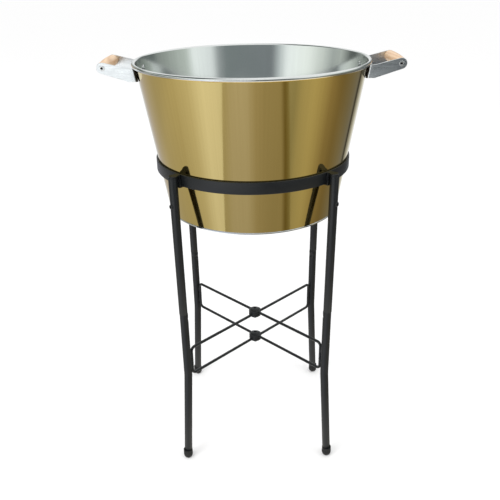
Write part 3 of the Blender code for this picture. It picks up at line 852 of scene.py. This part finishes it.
# %% [markdown]
# ## Legs
#
# Each leg is two tubes on an inner sleeve. The upper tube runs down and slightly inwards. The lower
# tube carries on the same line, bends outwards at the height of the lower wires and runs straight
# to the foot. A punch has dented the lower tube just under the joint, on the side that faces the
# pivots, which locks it on the sleeve. The dent is made by moving the tube's vertices inwards near
# it, less and less with distance.

# %% Legs
LEG_SIDES = 40
BEND_HEIGHT = 0.1960
BEND_RADIUS = 0.0900
TUBE_EDGE = 0.0005
END_REACH = 0.0030  # a vertex this near a tube's end belongs to its ring
DENT_DROP = 0.0105  # below the joint
DENT_DEPTH = 0.0034
DENT_SPREAD = Vector((0.0060, 0.0046, 0.0030))  # along the radius, across the leg and along it
DENT_RINGS = 28


def leg_axis(place, turn):
    """The leg's axis in its own XZ plane: its top, joint, bend and foot, from the frame boxes."""
    back = turn_z(-turn)
    ends = []
    for node in (f"leg_upper_{place}", f"leg_lower_{place}"):
        points = [back @ v.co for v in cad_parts[node].data.vertices]
        for choose in (max, min):
            height = choose(p.z for p in points)
            ring = [p for p in points if abs(p.z - height) < END_REACH]
            ends.append(Vector((sum(p.x for p in ring) / len(ring), 0, height)))
    top, upper_end, lower_start, foot = ends
    slope = (top.x - upper_end.x) / (top.z - upper_end.z)
    bend = Vector((top.x - slope * (top.z - BEND_HEIGHT), 0, BEND_HEIGHT))
    return top, upper_end, lower_start, bend, foot


def dent(work, centre):
    for vert in work.verts:
        away = vert.co - centre
        near = sum((away[i] / DENT_SPREAD[i]) ** 2 for i in range(3))
        vert.co.x += DENT_DEPTH * math.exp(-near)


def leg_tube(work, turn, name, body, node):
    bmesh.ops.transform(work, matrix=turn_z(turn), verts=work.verts)
    piece = piece_from(work, name, [coat], body, node)
    wall = piece.modifiers.new("wall", "SOLIDIFY")
    wall.thickness = LEG_WALL
    wall.offset = -1
    return soften(piece, TUBE_EDGE)


def leg(place, turn, body):
    top, upper_end, lower_start, bend, foot = leg_axis(place, turn)
    upper = swept([(top, 0, 1), (upper_end, 0, 1)], LEG_RADIUS, LEG_SIDES)
    leg_tube(upper, turn, f"upper_tube_{place}", body, f"leg_upper_{place}")
    along = (bend - lower_start).normalized()
    below_dent = lower_start + along * (2 * DENT_DROP)
    path = [(lower_start, 0, 1), (below_dent, 0, DENT_RINGS), (bend, BEND_RADIUS, 1), (foot, 0, 1)]
    lower = swept(path, LEG_RADIUS, LEG_SIDES)
    dent_centre = lower_start + along * DENT_DROP - Vector((LEG_RADIUS, 0, 0))
    dent(lower, dent_centre)
    leg_tube(lower, turn, f"lower_tube_{place}", body, f"leg_lower_{place}")


for place, (turn, body) in LEGS.items():
    leg(place, turn, body)

# %% [markdown]
# ## Feet
#
# A rubber foot is pushed over each tube's end. It has a thin lip at its mouth, a groove below the
# lip, and a sole that rounds in to a flat.

# %% Feet
FOOT_FLAT = 0.0062  # radius of the flat under the sole
FOOT_SOLE = 0.0032  # thickness under the tube
FOOT_MOUTH = 0.0062  # from the mouth down to the groove
FOOT_GROOVE = 0.0008
FOOT_CURVE = 0.0042  # height where the sole starts to round in
MOUTH_STEP = 0.0002
FOOT_EDGE = 0.0003
MOUTH_ROUNDING = 0.0005
CURVE_ROUNDING = 0.0030
FLAT_ROUNDING = 0.0018


def rubber_foot(place, body):
    low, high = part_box(f"foot_{place}")
    middle = (low + high) / 2
    radius = (high.x - low.x) / 2
    tall = high.z - low.z
    groove = tall - FOOT_MOUTH
    corners = [
        (0, FOOT_SOLE, 0),
        (LEG_RADIUS + GAP, FOOT_SOLE, 0),
        (LEG_RADIUS + GAP, tall, MOUTH_STEP),
        (radius - MOUTH_STEP, tall, MOUTH_ROUNDING),
        (radius - MOUTH_STEP, groove + FOOT_GROOVE, FOOT_EDGE),
        (radius - FOOT_GROOVE, groove, FOOT_EDGE),
        (radius, groove - FOOT_GROOVE, FOOT_EDGE),
        (radius, FOOT_CURVE, CURVE_ROUNDING),
        (FOOT_FLAT, 0, FLAT_ROUNDING),
        (0, 0, 0),
    ]
    work = turned(corners, SMALL_STEPS, Matrix.Translation((middle.x, middle.y, 0)))
    name, node = f"pushed_foot_{place}", f"foot_{place}"
    return piece_from(work, name, [rubber], body, node)


for place, (turn, body) in LEGS.items():
    rubber_foot(place, body)

# %% [markdown]
# ## Brace wires and their welds
#
# One wire makes both braces of a leg: it leaves the upper boss, turns down along the leg, and comes
# back to the lower boss. Two short weld beads hold its upright length to the leg. A weld bead is a
# drawn-out drop with ripples, so it is a sphere stretched along the wire, with its vertices moved
# in and out by a wave.

# %% Brace wires
WIRE_CORNER = 0.0080
WIRE_SIDES = 16
BOSS_RADIUS = 0.0125
WELD_SIZE = Vector((0.0021, 0.0027, 0.0060))
WELD_RIPPLE = 0.10  # share of the bead's width
WELD_WAVES = 1800.0  # radians per metre


def wire_shape(place, turn):
    """A wire's radius, the heights of its two runs and its upright's distance from the axis."""
    back = turn_z(-turn)
    points = [back @ v.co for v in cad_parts[f"brace_wire_{place}"].data.vertices]
    radius = max(p.y for p in points)
    upper, lower = max(p.z for p in points) - radius, min(p.z for p in points) + radius
    return radius, upper, lower, max(p.x for p in points) - radius


def brace_wire(place, turn, body):
    radius, upper, lower, upright = wire_shape(place, turn)
    start = BOSS_RADIUS + GAP
    path = [
        ((start, 0, upper), 0, 1),
        ((upright, 0, upper), WIRE_CORNER, 1),
        ((upright, 0, lower), WIRE_CORNER, 1),
        ((start, 0, lower), 0, 1),
    ]
    work = close_ends(swept(path, radius, WIRE_SIDES))
    bmesh.ops.transform(work, matrix=turn_z(turn), verts=work.verts)
    piece_from(work, f"bent_wire_{place}", [coat], body, f"brace_wire_{place}")
    heights = {"upper": upper - 2 * WIRE_CORNER, "lower": lower + 2 * WIRE_CORNER}
    for end, height in heights.items():
        weld_bead(f"weld_{end}_{place}", (upright + radius, 0, height), turn, body)


def weld_bead(name, place, turn, body):
    work = bmesh.new()
    bmesh.ops.create_uvsphere(work, u_segments=16, v_segments=24, radius=1)
    bmesh.ops.transform(work, matrix=Matrix.Diagonal((*WELD_SIZE, 1)), verts=work.verts)
    for vert in work.verts:
        ripple = 1 + WELD_RIPPLE * math.sin(WELD_WAVES * vert.co.z)
        vert.co.x *= ripple
        vert.co.y *= ripple
    bmesh.ops.transform(work, matrix=turn_z(turn) @ Matrix.Translation(place), verts=work.verts)
    piece_from(work, name, [coat], body, None, sharp=80)


for place, (turn, body) in LEGS.items():
    brace_wire(place, turn, body)

# %% [markdown]
# ## Pivots
#
# Where the wires cross, each leg frame has a round boss, one on the other. A bolt with a low domed
# head and a round socket in its middle passes through both, and a hexagon nut holds it from below.
# The coat covers them all.

# %% Pivots
BOLT_RADIUS = 0.0030
BOLT_SOCKET = 0.0034
BOLT_SOCKET_DEPTH = 0.0018
BOLT_HEAD_HEIGHT = 0.0030
BOLT_CROWN = 0.60  # share of the head's radius
BOLT_SHOULDER = 0.96
SHOULDER_HEIGHT = 0.0010
CROWN_ROUNDING = 0.0016
SHOULDER_ROUNDING = 0.0008
BOLT_CHAMFER = 0.0012
BOLT_TIP = 0.55  # share of the bolt's radius
TIP_ROUNDING = 0.0003
BOSS_ROUNDING = 0.0012
FINE_EDGE = 0.0002
SOFT_EDGE = 0.0004
NUT_EDGE = 0.0006
NUT_DRILL = 0.0200  # length of the tool that cuts the nut's hole


def pivot_boss(level, frame_body):
    letter = frame_body[-1]
    node = f"pivot_boss_{level}_{letter}"
    low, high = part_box(node)
    radius = high.x
    bore = BOLT_RADIUS + GAP
    corners = [
        (bore, high.z, FINE_EDGE),
        (radius, high.z, BOSS_ROUNDING),
        (radius, low.z, BOSS_ROUNDING),
        (bore, low.z, FINE_EDGE),
    ]
    work = turned(corners, ROUND_STEPS)
    piece_from(work, f"turned_{node}", [coat], frame_body, node)


def pivot_bolt(level):
    node = f"pivot_bolt_{level}"
    low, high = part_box(node)
    radius = high.x
    head_base = high.z - BOLT_HEAD_HEIGHT
    corners = [
        (0, high.z - BOLT_SOCKET_DEPTH, 0),
        (BOLT_SOCKET, high.z - BOLT_SOCKET_DEPTH, FINE_EDGE),
        (BOLT_SOCKET, high.z, SOFT_EDGE),
        (radius * BOLT_CROWN, high.z, CROWN_ROUNDING),
        (radius * BOLT_SHOULDER, head_base + SHOULDER_HEIGHT, SHOULDER_ROUNDING),
        (radius, head_base, FINE_EDGE),
        (BOLT_RADIUS, head_base, 0),
        (BOLT_RADIUS, low.z + BOLT_CHAMFER, SOFT_EDGE),
        (BOLT_RADIUS * BOLT_TIP, low.z, TIP_ROUNDING),
        (0, low.z, 0),
    ]
    work = turned(corners, ROUND_STEPS)
    piece_from(work, f"domed_{node}", [coat], "frame_a", node)


def rod(sides, radius, length, middle):
    """A closed rod that stands on its middle."""
    work = bmesh.new()
    size = {"radius1": radius, "radius2": radius, "depth": length}
    bmesh.ops.create_cone(work, cap_ends=True, segments=sides, matrix=middle, **size)
    return work


def pivot_nut(level):
    node = f"pivot_nut_{level}"
    low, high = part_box(node)
    middle = Matrix.Translation((0, 0, (low.z + high.z) / 2))
    hexagon = rod(6, high.x, high.z - low.z, middle)
    hole = rod(SMALL_STEPS, BOLT_RADIUS + GAP, NUT_DRILL, middle)
    work = joined(hexagon, hole, "DIFFERENCE")
    piece = piece_from(work, f"hexagon_{node}", [coat], "frame_a", node)
    soften(piece, NUT_EDGE, 3)


for level in ("upper", "lower"):
    pivot_boss(level, "frame_a")
    pivot_boss(level, "frame_b")
    pivot_bolt(level)
    pivot_nut(level)

# %% [markdown]
# ## Seats and screws
#
# At each leg's top a seat carries the hoop: a stem in the tube, a round head over the tube's end,
# and a hook that the hoop sits in. The frame already has the seat's exact shape, so a copy of its
# mesh is cleaned of the small triangles in its flats, and its edges are rounded. A pan-head screw
# with a cross recess holds the stem through the leg's outer wall. The sleeve inside each leg can't
# be seen from outside, and only takes the coat's finish.

# %% Seats and screws
SEAT_EDGE = 0.0004
SCREW_RADIUS = 0.0020
SCREW_HEAD_RADIUS = 0.0043
SCREW_HEAD_HEIGHT = 0.0026
SCREW_CROWN = 0.62  # share of the head's radius
SCREW_CROWN_ROUNDING = 0.0014
SCREW_SIDE = 0.0012
RECESS_WIDTH = 0.0010
RECESS_REACH = 0.0024
RECESS_DEPTH = 0.0014


def cross_recess(place):
    """A cutter of two crossed bars, standing on its place with its own Z out of the screw."""
    arms = []
    for turn in (0, 90):
        bar = bmesh.new()
        size = Matrix.Diagonal((2 * RECESS_REACH, RECESS_WIDTH, 2 * RECESS_DEPTH, 1))
        bmesh.ops.create_cube(bar, size=1, matrix=place @ turn_z(turn) @ size)
        arms.append(bar)
    return joined(*arms, "UNION")


def seat_screw(place, turn, body):
    node = f"seat_screw_{place}"
    low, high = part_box(node)
    back = turn_z(-turn)
    points = [back @ v.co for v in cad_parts[node].data.vertices]
    outer, inner = max(p.x for p in points), min(p.x for p in points)
    head_base = outer - SCREW_HEAD_HEIGHT
    up_to_screw = Matrix.Translation((0, 0, (low.z + high.z) / 2))
    out = up_to_screw @ Matrix.Rotation(math.radians(90), 4, "Y")
    corners = [
        (0, outer, 0),
        (SCREW_HEAD_RADIUS * SCREW_CROWN, outer, SCREW_CROWN_ROUNDING),
        (SCREW_HEAD_RADIUS, head_base + SCREW_SIDE, SHOULDER_ROUNDING),
        (SCREW_HEAD_RADIUS, head_base, 0),
        (SCREW_RADIUS, head_base, 0),
        (SCREW_RADIUS, inner, 0),
        (0, inner, 0),
    ]
    work = turned(corners, SMALL_STEPS, turn_z(turn) @ out)
    recess = cross_recess(turn_z(turn) @ out @ Matrix.Translation((0, 0, outer)))
    bmesh.ops.recalc_face_normals(work, faces=work.faces)
    work = joined(work, recess, "DIFFERENCE")
    piece_from(work, f"pan_head_{node}", [coat], body, node)


def hoop_seat(place, body):
    node = f"hoop_seat_{place}"
    work = bmesh.new()
    work.from_mesh(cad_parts[node].data)
    bmesh.ops.remove_doubles(work, verts=work.verts, dist=MERGE)
    flat = math.radians(1)
    bmesh.ops.dissolve_limit(work, angle_limit=flat, verts=work.verts, edges=work.edges)
    for face in work.faces:
        face.material_index = 0
    piece = piece_from(work, f"formed_{node}", [coat], body, node)
    soften(piece, SEAT_EDGE, 3)


for place, (turn, body) in LEGS.items():
    seat_screw(place, turn, body)
    hoop_seat(place, body)
    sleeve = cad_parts[f"leg_sleeve_{place}"].data
    sleeve.materials.clear()
    sleeve.materials.append(coat)

# %% [markdown]
# ## Light
#
# The tub is a mirror, so most of its look is what stands round it. The room is white for the camera
# and for soft light, but what the metal mirrors has shape: a paper sweep in front with an edge at
# each side, two bright soft boxes beyond it, and darker walls behind them. That is a world whose
# colour depends on the direction, seen only by glossy rays.
#
# Its nodes are added by the same helper as a finish's. Three more do sums, read a colour from a
# ramp and mix two colours.

# %% The world and helpers for its nodes
world = bpy.data.worlds.new("studio")
bpy.context.scene.world = world
world.use_nodes = True


def fed(value, socket):
    """Links an output to a socket, or sets the socket's own value."""
    if isinstance(value, bpy.types.NodeSocket):
        world.node_tree.links.new(value, socket)
    else:
        socket.default_value = value


def calculated(operation, first, second=0.0):
    made = add_node(world, "ShaderNodeMath", {"operation": operation})
    fed(first, made.inputs[0])
    fed(second, made.inputs[1])
    return made.outputs[0]


def toned(share, stops):
    """A ramp of (share, red, green, blue) stops."""
    made = add_node(world, "ShaderNodeValToRGB", Fac=share)
    elements = made.color_ramp.elements
    while len(elements) < len(stops):
        elements.new(1.0)
    for element, (position, *tone) in zip(elements, stops):
        element.position = position
        element.color = (*tone, 1)
    return made.outputs["Color"]


def choose(share, first, second, blend="MIX"):
    made = add_node(world, "ShaderNodeMix", {"data_type": "RGBA", "blend_type": blend})
    for value, place in ((share, 0), (first, 6), (second, 7)):
        fed(value, made.inputs[place])
    return made.outputs[2]


# %% [markdown]
# A direction has a bearing, which is the angle round the object from the front, and a rise, which
# is -1 straight down, 0 level and 1 straight up. A direction that points down also has a sideways
# value: how far to the side it would meet a floor one metre below. Reading the sweep by it keeps
# the sweep's edges straight.

# %% Directions
direction = add_node(world, "ShaderNodeTexCoord").outputs["Generated"]
to_right, to_back, rise = add_node(world, "ShaderNodeSeparateXYZ", Vector=direction).outputs
bearing = calculated("ARCTAN2", to_right, calculated("MULTIPLY", to_back, -1.0))
turned_share = calculated("ADD", calculated("DIVIDE", bearing, 2 * math.pi), 0.5)
fall = calculated("MAXIMUM", calculated("MULTIPLY", rise, -1.0), 0.001)
sideways = calculated("DIVIDE", to_right, fall)


def around(stops):
    """A ramp of (degrees of bearing, red, green, blue) stops, from the back by the left side."""
    return toned(turned_share, [(degrees / 360 + 0.5, *tone) for degrees, *tone in stops])


def above(start, end, low, high):
    """Goes over from the low room to the high one between two rises."""
    return choose(ranged(world, rise, 0.0, 1.0, start, end), low, high)


# %% [markdown]
# The low room is what the gold mirrors. The walls behind the object are white, the left one is a
# warm grey and the right one a dark olive that ends in a black edge. In front, the sweep is a
# little darker than the soft boxes, and a dark line closes it on the right.

# %% The low room
WHITE_BACK_LEFT = [(-180, 1.00, 1.02, 1.05), (-163, 0.80, 0.84, 0.90), (-150, 0.58, 0.58, 0.66)]
WARM_LEFT = [(-118, 0.52, 0.51, 0.47), (-90, 0.60, 0.59, 0.55)]
OLIVE_RIGHT = [(104, 0.24, 0.20, 0.13), (134, 0.23, 0.24, 0.27)]
BLACK_EDGE = (139, 0.02, 0.02, 0.02)
WHITE_BACK_RIGHT = [(143, 0.30, 0.32, 0.34), (156, 0.80, 0.84, 0.88), (180, 1.00, 1.02, 1.05)]
SWEEP_LEFT, SWEEP_RIGHT, SWEEP_LINE = -0.80, 0.86, 0.12
SWEEP_WIDTH = SWEEP_RIGHT + SWEEP_LINE - SWEEP_LEFT
LINE_AT = (SWEEP_RIGHT - SWEEP_LEFT) / SWEEP_WIDTH

low_walls = around(
    [
        *WHITE_BACK_LEFT,
        *WARM_LEFT,
        (-70, 0.76, 0.77, 0.80),
        (-54, 1.04, 1.10, 1.34),
        (-40, 1.04, 1.10, 1.34),
        (-28, 0.92, 0.98, 1.16),
        (45, 0.40, 0.40, 0.34),
        (54, 0.54, 0.52, 0.42),
        (68, 0.60, 0.57, 0.44),
        (78, 0.50, 0.46, 0.34),
        (90, 0.33, 0.28, 0.19),
        *OLIVE_RIGHT,
        BLACK_EDGE,
        *WHITE_BACK_RIGHT,
    ]
)
sweep = toned(
    calculated("DIVIDE", calculated("SUBTRACT", sideways, SWEEP_LEFT), SWEEP_WIDTH),
    [
        (0.0, 0.56, 0.55, 0.50),
        (0.14, 0.66, 0.66, 0.76),
        (0.36, 0.66, 0.66, 0.76),
        (0.50, 0.52, 0.49, 0.46),
        (0.66, 0.46, 0.43, 0.38),
        (LINE_AT - 0.06, 0.44, 0.41, 0.35),
        (LINE_AT, 0.20, 0.16, 0.06),
        (1.0, 0.34, 0.32, 0.22),
    ],
)
past_left = calculated("GREATER_THAN", sideways, SWEEP_LEFT)
before_right = calculated("LESS_THAN", sideways, SWEEP_RIGHT + SWEEP_LINE)
in_front = calculated("LESS_THAN", to_back, 0.0)
on_sweep = calculated("MULTIPLY", calculated("MULTIPLY", past_left, before_right), in_front)
low_room = choose(on_sweep, low_walls, sweep)

# %% [markdown]
# The floor gets darker towards the object's own shade, and is plain again right under it. Above the
# floor come two bands. The one that the hoop mirrors is lit from the left only. At the height of
# the handles, a lit card stands to the left of the camera and a black one to the right, so one arm
# shines and the other is dark.

# %% Shade, the hoop's band and the cards
shade = ranged(world, rise, 1.07, 0.79, -0.44, -0.68)
shade_grey = add_node(world, "ShaderNodeCombineColor", Red=shade, Green=shade, Blue=shade)
low_room = choose(1.0, low_room, shade_grey.outputs["Color"], "MULTIPLY")
low_room = choose(ranged(world, rise, 0.0, 1.0, -0.70, -0.76), low_room, (1.20, 1.17, 1.10, 1.0))

hoop_band = around(
    [
        *WHITE_BACK_LEFT,
        *WARM_LEFT,
        (-60, 1.15, 1.15, 1.18),
        (-38, 0.80, 0.80, 0.83),
        (-22, 0.20, 0.20, 0.22),
        (10, 0.15, 0.15, 0.17),
        (35, 0.09, 0.09, 0.11),
        (70, 0.30, 0.27, 0.20),
        *OLIVE_RIGHT,
        BLACK_EDGE,
        *WHITE_BACK_RIGHT,
    ]
)
cards = around(
    [
        *WHITE_BACK_LEFT,
        (-112, 0.50, 0.49, 0.45),
        (-104, 0.06, 0.06, 0.05),
        (-72, 0.06, 0.06, 0.05),
        (-60, 0.60, 0.60, 0.60),
        (-42, 1.95, 2.00, 2.02),
        (-2, 1.95, 2.00, 2.02),
        (3, 0.05, 0.065, 0.075),
        (60, 0.05, 0.06, 0.065),
        (76, 0.04, 0.04, 0.03),
        (134, 0.20, 0.20, 0.20),
        BLACK_EDGE,
        *WHITE_BACK_RIGHT,
    ]
)
low_room = above(-0.42, -0.38, low_room, hoop_band)
low_room = above(-0.30, -0.24, low_room, cards)

# %% [markdown]
# The high room is what the inside of the tub mirrors: two bright windows with dark walls between
# and beside them, and over them a white ceiling with one dark opening.

# %% The high room
high_walls = around(
    [
        (-180, 1.00, 1.02, 1.02),
        (-168, 0.90, 0.92, 0.92),
        (-158, 0.46, 0.50, 0.47),
        (-146, 0.34, 0.37, 0.35),
        (-134, 0.12, 0.14, 0.13),
        (-126, 0.14, 0.16, 0.15),
        (-110, 0.58, 0.63, 0.58),
        (-98, 0.50, 0.55, 0.52),
        (-84, 0.82, 0.88, 0.82),
        (-64, 1.18, 1.25, 1.18),
        (-42, 1.20, 1.27, 1.24),
        (-31, 0.60, 0.66, 0.66),
        (-24, 0.25, 0.28, 0.29),
        (28, 0.24, 0.28, 0.28),
        (37, 0.42, 0.46, 0.46),
        (45, 1.00, 1.06, 1.05),
        (66, 1.14, 1.21, 1.18),
        (75, 0.66, 0.73, 0.67),
        (104, 0.40, 0.45, 0.41),
        (114, 0.34, 0.38, 0.35),
        (124, 0.17, 0.20, 0.19),
        (158, 0.18, 0.20, 0.20),
        (168, 0.90, 0.92, 0.92),
        (180, 1.00, 1.02, 1.02),
    ]
)
CEILING_WHITE = (1.15, 1.17, 1.17)
CEILING_DARK = (0.10, 0.12, 0.12)
ceiling = around(
    [
        (-140, *CEILING_WHITE),
        (-110, *CEILING_DARK),
        (-55, *CEILING_DARK),
        (-40, *CEILING_WHITE),
    ]
)
high_room = above(0.38, 0.46, high_walls, ceiling)

# %% [markdown]
# The two rooms meet near the level, and a Light Path node shows them to glossy rays only. Every
# other ray finds plain white.

# %% Show the room to glossy rays
mirrored = above(-0.06, 0.02, low_room, high_room)
glossy = add_node(world, "ShaderNodeLightPath").outputs["Is Glossy Ray"]
shown = world.node_tree.nodes["Background"]
fed(choose(glossy, (1.0, 1.0, 1.0, 1.0), mirrored), shown.inputs["Color"])
shown.inputs["Strength"].default_value = 1.0
print("world nodes:", len(world.node_tree.nodes))

# %% [markdown]
# ## Floor and lamps
#
# The floor is plain white. It isn't mirrored in the metal, because the world above already stands
# for it there. One large soft lamp from the upper left gives the stand its light side, and a weaker
# one fills from the right.

# %% Floor and lamps
bpy.context.scene.view_settings.view_transform = "Standard"


def studio_floor():
    work = bmesh.new()
    bmesh.ops.create_grid(work, x_segments=1, y_segments=1, size=30)
    mesh = bpy.data.meshes.new("studio_floor")
    work.to_mesh(mesh)
    work.free()
    floor = bpy.data.objects.new("studio_floor", mesh)
    bpy.context.scene.collection.objects.link(floor)
    finish, shader = new_finish("white_floor", 0.9, specular=0.0)
    shader.inputs["Base Color"].default_value = (0.985, 0.985, 0.985, 1)
    mesh.materials.append(finish)
    floor.location.z = -GAP
    floor.visible_glossy = False


def soft_lamp(name, place, aim, size, power):
    lamp = bpy.data.lights.new(name, "AREA")
    lamp.shape = "SQUARE"
    lamp.size = size
    lamp.energy = power
    made = bpy.data.objects.new(name, lamp)
    bpy.context.scene.collection.objects.link(made)
    made.location = place
    made.rotation_euler = (Vector(aim) - Vector(place)).to_track_quat("-Z", "Y").to_euler()
    made.visible_glossy = False


studio_floor()
soft_lamp("key", (-1.8, -1.6, 2.4), (0, 0, 0.4), 1.6, 32)
soft_lamp("fill", (2.2, -1.2, 1.6), (0, 0, 0.4), 1.4, 10)
print("lamps:", len(bpy.data.lights))

# %% [markdown]
# ## Camera
#
# The camera stands in front, a little above the rim, and looks down at the stand.

# %% Camera
CAMERA_PLACE = (-0.0081, -1.097, 0.917)
PITCH = 0.442  # radians below the level
ROLL = -0.0168
LENS = 44.03  # millimetres


def studio_camera():
    lens = bpy.data.cameras.new("camera")
    lens.lens = LENS
    lens.sensor_width = 36
    camera = bpy.data.objects.new("camera", lens)
    bpy.context.scene.collection.objects.link(camera)
    right, up = Vector((1, 0, 0)), Vector((0, math.sin(PITCH), math.cos(PITCH)))
    back = Vector((0, -math.cos(PITCH), math.sin(PITCH)))
    side = math.cos(ROLL) * right + math.sin(ROLL) * up
    top = math.cos(ROLL) * up - math.sin(ROLL) * right
    turn = Matrix((side, top, back)).transposed().to_4x4()
    camera.matrix_world = Matrix.Translation(CAMERA_PLACE) @ turn
    bpy.context.scene.camera = camera


studio_camera()
print("camera lens in millimetres:", LENS)
